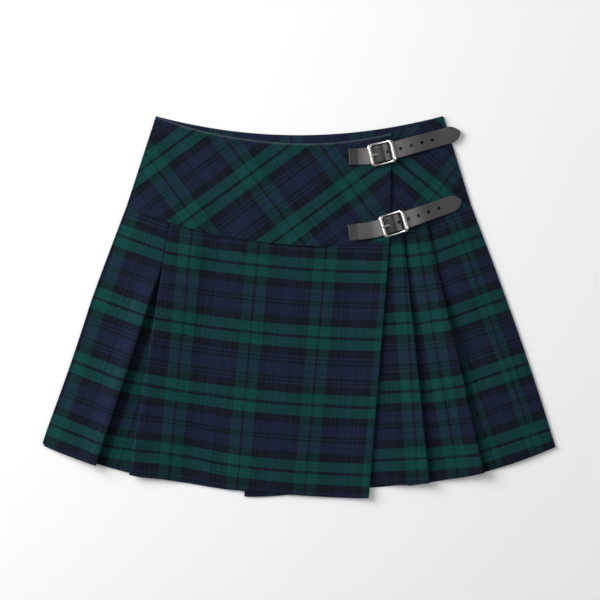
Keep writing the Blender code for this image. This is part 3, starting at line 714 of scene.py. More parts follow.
def fold_lift(x, t, fold_x, lift):
    """How far the layers of an open pleat spring up towards their outer fold."""
    near = ramp(x, fold_x - FOLD_LIFT_REACH, fold_x)
    full = LEFT_LIFT_FULL if fold_x < 0 else FOLD_LIFT_FULL
    return lift * near * ramp(t, STITCHED_SHARE, full)


def inner_level(t, lift):
    """The middle layer of a pleat, which rises a little less than the face over it."""
    return BASE_LEVEL + pitch(t) + INNER_LIFT_SHARE * lift


def left_face_level(x, t):
    """From the left side seam up onto the inverted pleat's folds."""
    side = -(half_width(t) - SIDE_INSET_LEFT)
    fold = left_fold_x(t)
    flat = lerp(side_level(t), pleat_top(t), ramp(x, side, fold - pleat_depth(t)))
    return flat + fold_lift(x, t, fold, LEFT_FOLD_LIFT)


def underlay_level(x, t):
    """The pleat's underlay lies on the back, with a valley crease where it shows."""
    left, right = left_fold_x(t), right_fold_x(t)
    share = (x - left) / (right - left)
    if not 0 < share < 1:
        return BASE_LEVEL
    if share < UNDERLAY_CREASE:
        hump = math.sin(math.pi * share / UNDERLAY_CREASE)
    else:
        hump = math.sin(math.pi * (share - UNDERLAY_CREASE) / (1 - UNDERLAY_CREASE))
    return BASE_LEVEL + UNDERLAY_HUMP * hump * ramp(t, STITCHED_SHARE, 1)


def first_face_level(x, t):
    """The under-apron, which climbs onto the folds of the first knife pleat."""
    fold = line_x("pleat_a", t)
    inner = fold - pleat_depth(t)
    climb = 2 * pitch(t) * ramp(x, inner - PLEAT_RISE, inner)
    return BASE_LEVEL + climb + fold_lift(x, t, fold, FIRST_FOLD_LIFT)


def second_face_level(x, t):
    """From behind the first knife pleat onto the second one's folds."""
    start = line_x("pleat_a", t) + CLOTH
    fold = line_x("pleat_b", t)
    climb = 2 * pitch(t) * ramp(x, start, fold - pleat_depth(t))
    return BASE_LEVEL + climb + fold_lift(x, t, fold, SECOND_FOLD_LIFT)


def third_face_level(x, t):
    """From behind the second knife pleat down to the side, a little swollen."""
    start = line_x("pleat_b", t)
    side = half_width(t) - right_inset(t)
    share = clamp((x - start) / (side - start))
    swell = FACE_SWELL * math.sin(math.pi * share) ** 2
    return lerp(BASE_LEVEL, side_level(t), ramp(x, start, side)) + swell


def under_seam_level(x):
    """Level of the yoke seam under the over-apron and at the right."""
    fold_b = line_x("pleat_b", 0)
    return lerp(first_face_level(x, 0), side_level(0), ramp(x, fold_b, fold_b + PLEAT_RISE))


def under_yoke_level(x, v):
    """The under yoke, from the skirt's own level to the facing's."""
    seam = under_seam_level(x * SEAM_HALF / yoke_half_width(v))
    return lerp(seam, WAIST_LEVEL, ramp(v, 0, FACING_SHARE))


def on_under_apron(x, edge_x):
    """One ply more where the over-apron lies on the under-apron's edge."""
    return PLY * ramp(x, edge_x - EDGE_CLIMB, edge_x - EDGE_CLIMB / 2)


def apron_fold_lift(x, t):
    """The inverted pleat's right fold springs up too, so the light catches its edge."""
    fold = right_fold_x(t)
    near = 1 - ramp(x, fold, fold + FOLD_LIFT_REACH)
    return RIGHT_FOLD_LIFT * near * ramp(t, STITCHED_SHARE, LEFT_LIFT_FULL)


def apron_level(x, t):
    """The over-apron: over the inverted pleat, down to the back, then over the under-apron."""
    inner = right_fold_x(t) + pleat_depth(t)
    pleat = 2 * pitch(t) * (1 - ramp(x, inner + CLOTH, inner + PLEAT_RISE))
    under = first_face_level(x, t) - BASE_LEVEL
    edge = line_x("apron_edge", t)
    lift = APRON_LIFT * ramp(x, edge - APRON_LIFT_REACH, edge) * ramp(t, 0, LIFTED_SHARE)
    lift += apron_fold_lift(x, t)
    return BASE_LEVEL + pleat + on_under_apron(x, line_x("under_edge", t)) + under + lift


def front_yoke_level(x, v):
    """The front yoke, from the skirt's own level at the seam to the facing's at the waist."""
    if v < 0:
        return apron_level(x, -v * YOKE_LENGTH / SKIRT_LENGTH)
    seam_x = x * SEAM_HALF / yoke_half_width(v)
    if seam_x < left_fold_x(0):
        seam = left_face_level(seam_x, 0)
    else:
        seam = apron_level(seam_x, 0)
    waist = WAIST_LEVEL + on_under_apron(seam_x, line_x("under_edge", 0))
    return lerp(seam, waist, ramp(v, 0, FACING_SHARE))


# Places in the flat cloth, in threads


def thread():
    """Distance from one thread of the sett to the next."""
    return bpy.context.scene.skirt_cloth.thread


def woven(grain, x, y):
    """Warp and weft thread that cross at the point (x, y) of a face."""
    across, down = x - grain.x, y - grain.y
    down -= grain.bow * (across / BOW_REACH) ** 2
    area = grain.warp_x * grain.weft_y - grain.warp_y * grain.weft_x
    warp = (across * grain.weft_y - down * grain.weft_x) / area
    weft = (grain.warp_x * down - grain.warp_y * across) / area
    return GREEN_MIDDLE + HALF_SETT * warp, grain.weft_threads + HALF_SETT * weft


def up_grain(height):
    """Weft thread at a height above the panel's hem."""
    return GREEN_MIDDLE + (height - WEFT_START) / thread()


# Walls of cloth


def spread(start, stop, steps, rim_first=True, rim_last=True):
    """(position, fullness) along a leg. A rim closes the wall with a round edge."""
    way = 1 if stop > start else -1
    first = [(start + way * inset * CLOTH / 2, full) for inset, full in RIM[:-1]]
    last = [(stop - way * inset * CLOTH / 2, full) for inset, full in RIM[:-1]]
    begin = start + way * CLOTH / 2 if rim_first else start
    end = stop - way * CLOTH / 2 if rim_last else stop
    middle = [(lerp(begin, end, i / steps), 1) for i in range(steps + 1)]
    return (first if rim_first else []) + middle + (last[::-1] if rim_last else [])


def walk(start, legs):
    """Walks a row from x = start through its legs, with a half turn at each fold.

    Gives (x, z, normal x, normal z, fullness, leg, share of the turn) for each step. The
    normal is on the walker's left, which is the cloth's face side. A leg's edge is the
    outermost point of its fold, and its bulge is 1 where that fold points to +X, -1 to -X
    and 0 at a free edge.
    """
    steps = []
    x = start
    for number, leg in enumerate(legs):
        stop = leg.edge
        if leg.bulge:
            z_from = leg.level(leg.edge)
            z_to = legs[number + 1].level(leg.edge)
            radius = abs(z_to - z_from) / 2
            stop = leg.edge - leg.bulge * (CLOTH / 2 + radius)
        way = 1 if stop > x else -1
        for at, full in spread(x, stop, leg.columns, number == 0, not leg.bulge):
            slope = (leg.level(at + PROBE) - leg.level(at - PROBE)) / (2 * PROBE)
            length = math.hypot(1, slope)
            normal = (-slope * way / length, way / length)
            steps.append((at, leg.level(at), *normal, full, number, 0))
        if leg.bulge:
            down = z_to < z_from
            outward = 1 if down == (leg.bulge > 0) else -1
            for i in range(1, FOLD_STEPS):
                rise = math.cos(math.pi * i / FOLD_STEPS) * (1 if down else -1)
                out = math.sin(math.pi * i / FOLD_STEPS) * leg.bulge
                point = (stop + radius * out, (z_from + z_to) / 2 + radius * rise)
                steps.append(
                    (*point, out * outward, rise * outward, 1, number, i / FOLD_STEPS)
                )
        x = stop
    return steps


def crease_height(rows, x, y):
    """Height of the listed folds and hollows at a point."""
    height = 0
    for crease in rows:
        way_x, way_y = crease.to_x - crease.x, crease.to_y - crease.y
        length = math.hypot(way_x, way_y)
        along = ((x - crease.x) * way_x + (y - crease.y) * way_y) / length**2
        if CREASE_FADE_IN[0] < along < CREASE_FADE_OUT[1]:
            aside = ((x - crease.x) * way_y - (y - crease.y) * way_x) / length
            aside += crease.bow * math.sin(math.pi * along)
            fade = ramp(along, *CREASE_FADE_IN) * (1 - ramp(along, *CREASE_FADE_OUT))
            height += crease.height * math.exp(-((aside / crease.width) ** 2)) * fade
    return height


def laid(x, y, z):
    """Where a point of the drawn skirt lies once its cloth has its soft folds.

    The top creases leave the back flat, and reach their full height three plies above it.
    """
    share = ramp(z, CLOTH, CLOTH + 3 * PLY)
    height = crease_height(DEEP_CREASES, x, y) + crease_height(TOP_CREASES, x, y) * share
    z += bpy.context.scene.skirt_cloth.crease * height
    return Vector((*settled(x, y), z))


def mesh_piece(name, points, faces, material, layout=None):
    """A closed mesh object. A cloth's layout has one (u, v, painted edge highlight) for each point.
    """
    mesh = bpy.data.meshes.new(name)
    mesh.from_pydata(points, [], faces)
    shell = bmesh.new()
    shell.from_mesh(mesh)
    if layout:
        flat = shell.loops.layers.uv.new("flat")
        painted_edge_light = shell.verts.layers.float.new("painted_edge_light")
        for vert in shell.verts:
            vert[painted_edge_light] = layout[vert.index][2]
        for face in shell.faces:
            for corner in face.loops:
                corner[flat].uv = layout[corner.vert.index][:2]
    bmesh.ops.remove_doubles(shell, verts=shell.verts, dist=MERGE)
    bmesh.ops.recalc_face_normals(shell, faces=shell.faces)
    if shell.calc_volume(signed=True) < 0:
        bmesh.ops.reverse_faces(shell, faces=shell.faces)
    shell.to_mesh(mesh)
    shell.free()
    mesh.shade_smooth()
    mesh.materials.append(material)
    obj = bpy.data.objects.new(name, mesh)
    bpy.context.scene.collection.objects.link(obj)
    return obj


def finish_piece(obj, node):
    """Sets a finished piece on the part's body in place of its plain solid."""
    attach(obj, BODY)
    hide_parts(node)
    return obj


def wall(name, outer, inner, layout):
    """A closed wall of cloth between two grids of points with the same rows and columns."""
    rows, columns = len(outer), len(outer[0])
    points = [p for row in outer for p in row] + [p for row in inner for p in row]
    back = rows * columns
    faces = []
    for i in range(rows - 1):
        for j in range(columns - 1):
            a, b = i * columns + j, (i + 1) * columns + j
            faces.append((a, b, b + 1, a + 1))
            faces.append((back + a, back + a + 1, back + b + 1, back + b))
    places = [p for row in layout for p in row]
    return mesh_piece(name, points, faces, wool_tartan(), places * 2)


def cloth_wall(name, length, legs_at, place, threads, lit_leg=None, lit_end=False):
    """A panel of cloth.

    legs_at(share) gives a row's start and legs, place(x, share, leg) a point's y, and
    threads(x, y, share, leg, turn) its warp and weft thread. A highlight is painted into the
    colour at the fold of the lit leg, or along a lit end, which is the last row.
    """
    rows = round(length / ROW_STEP)
    outer, inner, layout = [], [], []
    for row, row_full in spread(0, length, rows):
        share = row / length
        start, legs = legs_at(share)
        face, wrong, places = [], [], []
        for x, z, nx, nz, full, leg, turn in walk(start, legs):
            y = place(x, share, leg)
            half = CLOTH / 2 * full * row_full
            face.append(laid(x + nx * half, y, z + nz * half))
            wrong.append(laid(x - nx * half, y, z - nz * half))
            warp, weft = threads(x, y, share, leg, turn)
            # Painted highlight along the lit leg's fold, or along the lit end
            if leg == lit_leg:
                painted_edge_light = FOLD_EDGE_LIGHT * math.sin(math.pi * turn)
            else:
                painted_edge_light = float(lit_end and length - row < CLOTH)
            places.append((warp * thread(), weft * thread(), painted_edge_light))
        outer.append(face)
        inner.append(wrong)
        layout.append(places)
    return wall(name, outer, inner, layout)


def skirt_height(x, t):
    """Height above the hem along the fan of the skirt's own rows."""
    c = x / half_width(t)
    return (1 - t) * (seam_y(c) - hem_y(c))


def skirt_y(x, t, drop):
    """Height of a row of the skirt part at x, less a drop."""
    c = x / half_width(t)
    return lerp(seam_y(c) - SEAM_GAP / 2, hem_y(c), t) - drop


# Skirt panels


def front_apron():
    """The left side, the inverted pleat and the over-apron, in one cut."""
    left_face, left_inside, underlay, right_inside, over_apron = range(5)

    def legs_at(t):
        start = -(half_width(t) - SIDE_INSET_LEFT) + SEAM_GAP / 2
        left, right, depth = left_fold_x(t), right_fold_x(t), pleat_depth(t)
        edge = line_x("apron_edge", t)

        def left_level(x):
            return inner_level(t, fold_lift(x, t, left, LEFT_FOLD_LIFT))

        def right_level(x):
            return inner_level(t, apron_fold_lift(x, t))

        def over_level(x):
            return apron_level(x, min(1.0, t + apron_drop(x, edge) / SKIRT_LENGTH))

        return start, [
            Leg(lambda x: left_face_level(x, t), left, 1, LEFT_FACE_COLUMNS),
            Leg(left_level, left - depth, -1, HIDDEN_COLUMNS),
            Leg(lambda x: underlay_level(x, t), right + depth, 1, UNDERLAY_COLUMNS),
            Leg(right_level, right, -1, HIDDEN_COLUMNS),
            Leg(over_level, edge, 0, OVER_APRON_COLUMNS),
        ]

    def place(x, t, leg):
        drop = 0
        if leg == underlay:
            drop = -UNDERLAY_HEM_RISE * ramp(t, RISEN_SHARE, 1)
        if leg == over_apron:
            drop = apron_drop(x, line_x("apron_edge", t))
        return skirt_y(x, t, drop)

    def threads(x, y, t, leg, turn):
        left, right = left_fold_x(t), right_fold_x(t)
        if leg == left_face:
            return woven(LEFT_FACE_GRAIN, x, y)
        if leg == over_apron:
            return woven(APRON_GRAIN, x, y)
        share = clamp((x - left) / (right - left))
        weft = lerp(woven(LEFT_FACE_GRAIN, x, y)[1], woven(APRON_GRAIN, x, y)[1], share)
        if leg == left_inside:
            return woven(LEFT_FACE_GRAIN, 2 * left - x, y)[0], weft
        if leg == right_inside:
            return woven(APRON_GRAIN, 2 * right - x, y)[0], weft
        return BLACK_MIDDLE + (x - left - UNDERLAY_BLACK) / thread(), weft

    return cloth_wall(
        "cloth_front_apron", SKIRT_LENGTH, legs_at, place, threads, lit_leg=right_inside
    )


def pleated_front():
    """The under-apron and the right side, with two knife pleats, in one cut."""
    under_apron = 0

    def legs_at(t):
        fold_a, fold_b = line_x("pleat_a", t), line_x("pleat_b", t)
        side = half_width(t) - right_inset(t) - SEAM_GAP / 2
        depth = pleat_depth(t)

        def inner_a(x):
            return inner_level(t, fold_lift(x, t, fold_a, FIRST_FOLD_LIFT))

        def inner_b(x):
            return inner_level(t, fold_lift(x, t, fold_b, SECOND_FOLD_LIFT))

        return line_x("under_edge", t), [
            Leg(lambda x: first_face_level(x, t), fold_a, 1, UNDER_APRON_COLUMNS),
            Leg(inner_a, fold_a - depth, -1, HIDDEN_COLUMNS),
            Leg(lambda x: second_face_level(x, t), fold_b, 1, SECOND_FACE_COLUMNS),
            Leg(inner_b, fold_b - depth, -1, HIDDEN_COLUMNS),
            Leg(lambda x: third_face_level(x, t), side, 0, THIRD_FACE_COLUMNS),
        ]

    def place(x, t, leg):
        drop = 0
        if leg == under_apron:
            corner, edge = line_x("under_edge", t), line_x("apron_edge", t)
            drop = lerp(HEM_CORNER_DROP, -FACE_HEM_RISE, ramp(x, corner, edge))
            drop *= 1 - ramp(x, edge, line_x("pleat_a", t) - 2 * CLOTH)
            drop *= ramp(t, CORNER_SHARE, 1)
        return skirt_y(x, t, drop)

    def threads(x, y, t, leg, turn):
        """A hidden layer carries the weave of the face that comes after it."""
        grains = (FIRST_FACE_GRAIN, SECOND_FACE_GRAIN, THIRD_FACE_GRAIN)
        return woven(grains[(leg + 1) // 2], x, y)

    return cloth_wall("cloth_pleated_front", SKIRT_LENGTH, legs_at, place, threads)


ON_PLANE = 1


def back_legs(half, right_side, left_side, level):
    """A row of the back: its middle leg lies on the plane, and two turn over the side folds."""
    return right_side + SEAM_GAP / 2, [
        Leg(lambda x: level, half, 1, TURNED_COLUMNS),
        Leg(lambda x: CLOTH / 2, -half, -1, BACK_COLUMNS),
        Leg(lambda x: level, -left_side - SEAM_GAP / 2, 0, TURNED_COLUMNS),
    ]


def turned_threads(x, y, weft, leg, turn, right_grain, left_grain):
    """The back is cut straight, and follows the front's weave where it turns over a side."""
    if leg == ON_PLANE and not turn:
        return GREEN_MIDDLE + x / thread(), weft
    return woven(left_grain if leg else right_grain, x, y)


def back_panel():
    """The skirt's plain back, which turns over both sides to the front."""

    def legs_at(t):
        half = half_width(t)
        return back_legs(half, half - right_inset(t), half - SIDE_INSET_LEFT, side_level(t))

    def place(x, t, leg):
        rise = BACK_HEM_RISE * ramp(t, RISEN_SHARE, 1) if leg == ON_PLANE else 0
        return skirt_y(x, t, -rise)

    def threads(x, y, t, leg, turn):
        weft = up_grain(skirt_height(x, t))
        return turned_threads(x, y, weft, leg, turn, THIRD_FACE_GRAIN, LEFT_FACE_GRAIN)

    return cloth_wall("cloth_back_panel", SKIRT_LENGTH, legs_at, place, threads)


# Yoke


def yoke_y(x, v, waist_y, drop):
    """Height of a row of the yoke at x, less a drop."""
    c = x / yoke_half_width(v)
    return lerp(seam_y(c) + SEAM_GAP / 2, waist_y(c), v) - drop


def seam_lap(x, v):
    """Share of the front yoke's lap over the skirt at its lower edge."""
    side = -yoke_half_width(v)
    along = ramp(x, side, side + SEAM_LAP_SIDE) * (1 - ramp(x, *SEAM_LAP_END))
    return along * (1 - ramp(v, 0, SEAM_LAP_SHARE))


def between_straps(v):
    """The yoke's free edge springs up between the two straps that hold it down."""
    low, high = YOKE_FREE
    return math.sin(math.pi * clamp((v - low) / (high - low))) ** YOKE_FREE_POWER


def front_yoke():
    """The upper layer, cut on the bias, from the left side to its free edge."""

    def legs_at(v):
        start = -(yoke_half_width(v) - SIDE_INSET_LEFT) + SEAM_GAP / 2
        edge = yoke_edge_x(v)

        def level(x):
            shifted = v - apron_drop(x, edge) / YOKE_LENGTH
            lift = YOKE_LIFT * ramp(x, edge - APRON_LIFT_REACH, edge) * between_straps(v)
            return front_yoke_level(x, shifted) + SEAM_RISE * seam_lap(x, v) + lift

        return start, [Leg(level, edge, 0, FRONT_YOKE_COLUMNS)]

    def place(x, v, leg):
        near_waist = ramp(v, UNDER_HANG_FROM, 1)
        drop = apron_drop(x, yoke_edge_x(v)) * (1 - WAIST_HELD * near_waist)
        drop -= WAIST_RISE * ramp(x, *WAIST_RISEN) * near_waist
        return yoke_y(x, v, front_waist_y, drop + SEAM_LAP * seam_lap(x, v))

    def threads(x, y, v, leg, turn):
        return woven(YOKE_GRAIN, x, y)

    return cloth_wall("cloth_front_yoke", YOKE_LENGTH, legs_at, place, threads, lit_end=True)


def under_yoke():
    """The lower layer, from under the front yoke to the right side."""

    def legs_at(v):
        start = FOLD_LINES["under_edge"].seam_x * yoke_half_width(v) / SEAM_HALF
        side = yoke_half_width(v) - SIDE_INSET_WAIST - SEAM_GAP / 2
        return start, [Leg(lambda x: under_yoke_level(x, v), side, 0, UNDER_YOKE_COLUMNS)]

    def place(x, v, leg):
        """Its waist hangs with the upper yoke's where it lies under it."""
        hangs = 1 - ramp(x, *UNDER_WAIST_HANGS)
        drop = apron_drop(min(x, YOKE_EDGE_WAIST_X), YOKE_EDGE_WAIST_X) * hangs
        return yoke_y(x, v, front_waist_y, drop * ramp(v, UNDER_HANG_FROM, 1))

    def threads(x, y, v, leg, turn):
        return woven(UNDER_YOKE_GRAIN, x, y)

    return cloth_wall("cloth_under_yoke", YOKE_LENGTH, legs_at, place, threads)


def back_yoke():
    """The yoke's plain back, which turns over both sides to the front."""

    def legs_at(v):
        half = yoke_half_width(v)
        right, left = half - SIDE_INSET_WAIST, half - SIDE_INSET_LEFT
        return back_legs(half, right, left, yoke_side_level(v))

    def place(x, v, leg):
        return yoke_y(x, v, back_waist_y, 0)

    def threads(x, y, v, leg, turn):
        weft = GREEN_MIDDLE + y / thread()
        return turned_threads(x, y, weft, leg, turn, UNDER_YOKE_GRAIN, YOKE_GRAIN)

    return cloth_wall("cloth_back_yoke", YOKE_LENGTH, legs_at, place, threads)


def back_facing():
    """The strip inside the back waist, which shows above the lower front waist."""
    depth = FACING_DEPTH - FACING_EDGE
    middle = CLOTH + REST_GAP + FACING_CLOTH / 2
    outer, inner, layout = [], [], []
    for row, row_full in spread(0, depth, round(depth / ROW_STEP)):
        down = FACING_EDGE + row
        half = yoke_half_width(1 - down / YOKE_LENGTH) - FACING_SIDE
        face, wrong, places = [], [], []
        for x, full in spread(-half, half, FACING_COLUMNS):
            y = back_waist_y(x / half) - down
            rise = FACING_CLOTH / 2 * full * row_full
            face.append(Vector((x, y, middle + rise)))
            wrong.append(Vector((x, y, middle - rise)))
            warp = GREEN_MIDDLE + HALF_SETT * (x - FACING_GRAIN[0]) / FACING_GRAIN[1]
            places.append((warp * thread(), FACING_MIDDLE * thread() + row, 0.0))
        outer.append(face)
        inner.append(wrong)
        layout.append(places)
    return wall("cloth_back_facing", outer, inner, layout)


# Straps and buckles


def yoke_share(x, y, drop):
    """Share v of the way up the front yoke at the point (x, y)."""
    v = 0.5
    for _ in range(SHARE_ROUNDS):
        c = x / yoke_half_width(v)
        v = (y + drop - seam_y(c)) / (front_waist_y(c) - seam_y(c))
        v = min(1.0, max(LOWEST_SHARE, v))
    return v


def cloth_top(x, y):
    """Height of the topmost cloth under the point (x, y) of a strap."""
    v = yoke_share(x, y, 0)
    side = yoke_half_width(v) - SIDE_INSET_WAIST
    if v < 0 and x > line_x("pleat_b", 0):
        middle = third_face_level(x, -v * YOKE_LENGTH / SKIRT_LENGTH)
    elif x < side:
        middle = under_yoke_level(x, max(0.0, v))
    else:
        middle = yoke_side_level(max(0.0, v)) - TIP_DROOP * (x - side)
    edge = yoke_edge_x(v)
    if x < edge + CLOTH:
        drop = apron_drop(x, edge)
        middle = front_yoke_level(x, yoke_share(x, y, drop) - drop / YOKE_LENGTH)
    return middle + CLOTH / 2


def strap_turn(strap, along):
    """Heading of the strap, in radians, at a distance along it from the buckle's bar."""
    turn = lerp(strap.left_turn, strap.turn, ramp(along, *strap.bend))
    turn += (strap.end_turn - strap.turn) * ramp(along, *STRAP_END_BEND)
    return math.radians(turn)


def strap_point(strap, along):
    """Point of the strap's middle line on the plane, walked from the bar in 1 mm steps."""
    parts = max(1, round(abs(along) / MM))
    x, y = strap.bar
    for i in range(parts):
        turn = strap_turn(strap, along * (i + 0.5) / parts)
        x += math.cos(turn) * along / parts
        y += math.sin(turn) * along / parts
    return x, y


def strap_place(strap, along, across):
    """Point of the strap on the plane."""
    x, y = strap_point(strap, along)
    turn = strap_turn(strap, along)
    return x - across * math.sin(turn), y + across * math.cos(turn)


def resting_heights(strap):
    """The height that the strap rests at along its length, above cloth of any shape."""
    step = REST_SAMPLE
    count = round(strap.length / step)
    start = -strap.left_length
    widths = [(STRAP_HALF + REST_MARGIN) * share for share in REST_SHARES]
    tops = [
        max(cloth_top(*strap_place(strap, start + i * step, w)) for w in widths)
        for i in range(count + 1)
    ]
    reach = REST_REACH
    highest = [max(tops[max(0, i - reach) : i + reach + 1]) for i in range(count + 1)]
    eased = []
    for i in range(count + 1):
        near = highest[max(0, i - reach + 1) : i + reach]
        eased.append(sum(near) / len(near) + REST_GAP)

    def height(along):
        place = min(count, max(0.0, (along - start) / step))
        before = min(count - 1, int(place))
        return lerp(eased[before], eased[before + 1], place - before)

    return height


def strap_rise(strap, along):
    """Height of the strap's underside over its rest, up over the bar and down over the tab."""
    tab_top = TAB_TAIL + 2 * REST_GAP
    over_bar = STRAP_HUMP * ramp(along, -STRAP_CLIMB, -STRAP_CREST)
    down = (STRAP_HUMP - tab_top) * ramp(along, STRAP_CREST, STRAP_DIP)
    off_tab = tab_top * ramp(along, strap.tab_length, strap.tab_length + STRAP_SETTLE)
    neck = NECK_RISE * ramp(along, NECK_START, -STRAP_CLIMB)
    neck *= 1 - ramp(along, -STRAP_CLIMB, -STRAP_CREST)
    inside = along + strap.left_length
    sewn = ramp(inside, 0, SEAM_INSET) * (1 - ramp(inside, SEWN_LENGTH, SEWN_LENGTH + SEWN_SLOPE))
    return over_bar + neck - down - off_tab - SEWN_DEPTH * sewn


def strap_middle(strap, height, along):
    """Level of the middle of the strap's leather."""
    return height(along) + strap_rise(strap, along) + LEATHER / 2


def strap_stations(strap):
    """(distance along, half width, fullness) from the square end to the tip."""
    right = strap.length - strap.left_length
    body = right - STRAP_TIP + strap.left_length
    count = round(body / STRAP_STEP)
    stations = []
    for inset, full in RIM[:-1]:
        stations.append((-strap.left_length + inset * LEATHER_CORNER, STRAP_HALF, full))
    for i in range(count):
        along = lerp(-strap.left_length + LEATHER_CORNER, right - STRAP_TIP, i / count)
        stations.append((along, STRAP_HALF, 1))
    for i in range(TIP_STEPS):
        share = i / (TIP_STEPS - 1)
        along = right - STRAP_TIP * (1 - share)
        stations.append((along, STRAP_HALF * (1 - share**TIP_POINT) ** TIP_ROUND, 1))
    return stations


def strap_section(half, full):
    """(across, up) round the strap's cut: flat below, a little domed above, round corners."""
    high = LEATHER / 2
    low_corner = high - LEATHER_CORNER
    section = []
    for side, up, start in ((1, 1, 0), (-1, 1, 90), (-1, -1, 180), (1, -1, 270)):
        for i in range(SECTION_CORNER_STEPS + 1):
            angle = math.radians(start + 90 * i / SECTION_CORNER_STEPS)
            across = side * (half - LEATHER_CORNER) + LEATHER_CORNER * math.cos(angle)
            section.append((across, up * low_corner + LEATHER_CORNER * math.sin(angle)))
        if up == side:
            for i in range(1, SECTION_FLAT_STEPS):
                share = lerp(1, -1, i / SECTION_FLAT_STEPS)
                dome = LEATHER_DOME * (1 - share * share) if up > 0 else 0
                section.append((up * share * (half - LEATHER_CORNER), up * high + dome))
    edge = lerp(low_corner / high, 1, full)
    return [(across, up * edge) for across, up in section]


def strap_body(strap, height):
    """The strap as a closed skin over its rounded sections."""
    rings = []
    for along, half, full in strap_stations(strap):
        ahead = strap_middle(strap, height, along + PROBE)
        slope = (ahead - strap_middle(strap, height, along - PROBE)) / (2 * PROBE)
        length = math.hypot(1, slope)
        ring = []
        for across, up in strap_section(max(half, 2 * LEATHER_CORNER), full):
            x, y = strap_place(strap, along - slope / length * up, across)
            z = strap_middle(strap, height, along) + up / length
            ring.append(Vector((x, y, z)))
        rings.append(ring)
    sides = len(rings[0])
    points = [point for ring in rings for point in ring]
    faces = []
    for i in range(len(rings) - 1):
        for k in range(sides):
            a, b = i * sides + k, i * sides + (k + 1) % sides
            faces.append((a, b, b + sides, a + sides))
    faces.append(tuple(range(sides)))
    faces.append(tuple(range(len(points) - sides, len(points))))
    body = mesh_piece(f"leather_strap_{strap.name}", points, faces, leather())
    # Painted highlight: a share of grey for each ring of the strap
    painted_light = body.data.attributes.new("painted_light", "FLOAT", "POINT")
    for ring, (along, _, _) in enumerate(strap_stations(strap)):
        for k in range(sides):
            painted_light.data[ring * sides + k].value = painted_light_at(strap, along)
    return body


def painted_light_at(strap, along):
    """Share of grey painted highlight on the leather, at a distance along a strap from its bar."""
    # Painted highlight: none where the end is sewn, strongest just outside the buckle and in a band
    # past the bar, fading along the strap
    if SEAM_INSET < along + strap.left_length < SEWN_LENGTH:
        return 0
    edge = BUCKLE_HALF_LENGTH
    reach = PAINTED_LIGHT_RIGHT if along > 0 else PAINTED_LIGHT_LEFT
    outside = ramp(abs(along), edge - PAINTED_LIGHT_EDGE, edge)
    outside *= lerp(1, PAINTED_LIGHT_LEAST, ramp(abs(along), edge, edge + reach))
    return max(ramp(along, *PAINTED_LIGHT_CREST) - ramp(along, *PAINTED_LIGHT_BAND), outside)


def cut_or_join(obj, shape, operation):
    """Cuts a closed shape from a piece, or joins it to it, with an exact boolean."""
    tool = mesh_piece("tool", *shape, obj.data.materials[0])
    modifier = obj.modifiers.new("boolean", "BOOLEAN")
    modifier.operation = operation
    modifier.object = tool
    modifier.solver = "EXACT"
    graph = bpy.context.evaluated_depsgraph_get()
    mesh = bpy.data.meshes.new_from_object(obj.evaluated_get(graph))
    obj.modifiers.remove(modifier)
    bpy.data.objects.remove(tool)
    obj.data = mesh


def tube(centres, radii, sides, sideways, closed=False):
    """(points, faces) of a rod along centres. radii holds (across, upward) for each point."""
    points, faces = [], []
    count = len(centres)
    for i, (centre, (wide, high)) in enumerate(zip(centres, radii)):
        before = centres[i - 1] if closed or i else centre
        after = centres[(i + 1) % count] if closed or i < count - 1 else centre
        along = (after - before).normalized()
        across = sideways[i] if sideways else Vector((0, 1, 0))
        upward = along.cross(across).normalized()
        for k in range(sides):
            angle = 2 * math.pi * k / sides
            offset = across * wide * math.cos(angle) + upward * high * math.sin(angle)
            points.append(centre + offset)
    for i in range(count if closed else count - 1):
        for k in range(sides):
            a, b = i * sides + k, i * sides + (k + 1) % sides
            c, d = (a + sides) % len(points), (b + sides) % len(points)
            faces.append((a, b, d, c))
    if not closed:
        faces.append(tuple(range(sides)))
        faces.append(tuple(range((count - 1) * sides, count * sides)))
    return points, faces


def buckle_matrix(strap, height):
    """From the buckle's own axes, along the strap, across it and up, to the skirt's."""
    reach = BUCKLE_HALF_LENGTH + END_BAR_RADIUS
    base = max(height(-reach * i / BASE_SAMPLES) for i in range(BASE_SAMPLES + 1))
    turn = Matrix.Rotation(math.radians(strap.frame_turn), 4, "Z")
    return Matrix.Translation((*strap.bar, base)) @ turn


def moved(parts, matrix):
    """The same (points, faces), moved."""
    points, faces = parts
    return [matrix @ point for point in points], faces


def frame_height(along):
    """Level of the frame's middle: it rises to the tip's side and sags between."""
    share = along / BUCKLE_HALF_LENGTH
    straight = lerp(NEAR_BAR_Z, FAR_BAR_Z, (share + 1) / 2)
    return straight - FRAME_SAG * (1 - share * share)


def frame_loop():
    """The buckle's outline as (along, across, outward direction) round its four corners."""
    loop = []
    flat_length = BUCKLE_HALF_LENGTH - BUCKLE_CORNER
    flat_width = BUCKLE_HALF_WIDTH - BUCKLE_CORNER
    signs = ((1, 1), (-1, 1), (-1, -1), (1, -1))
    for quarter in range(4):
        here, after = signs[quarter], signs[(quarter + 1) % 4]
        for i in range(CORNER_STEPS + 1):
            angle = math.radians(90 * quarter + 90 * i / CORNER_STEPS)
            out = Vector((math.cos(angle), math.sin(angle), 0))
            along = here[0] * flat_length + BUCKLE_CORNER * out.x
            loop.append((along, here[1] * flat_width + BUCKLE_CORNER * out.y, out))
        for i in range(1, SIDE_STEPS):
            along = lerp(here[0], after[0], i / SIDE_STEPS) * flat_length
            across = lerp(here[1], after[1], i / SIDE_STEPS) * flat_width
            loop.append((along + BUCKLE_CORNER * out.x, across + BUCKLE_CORNER * out.y, out))
    return loop


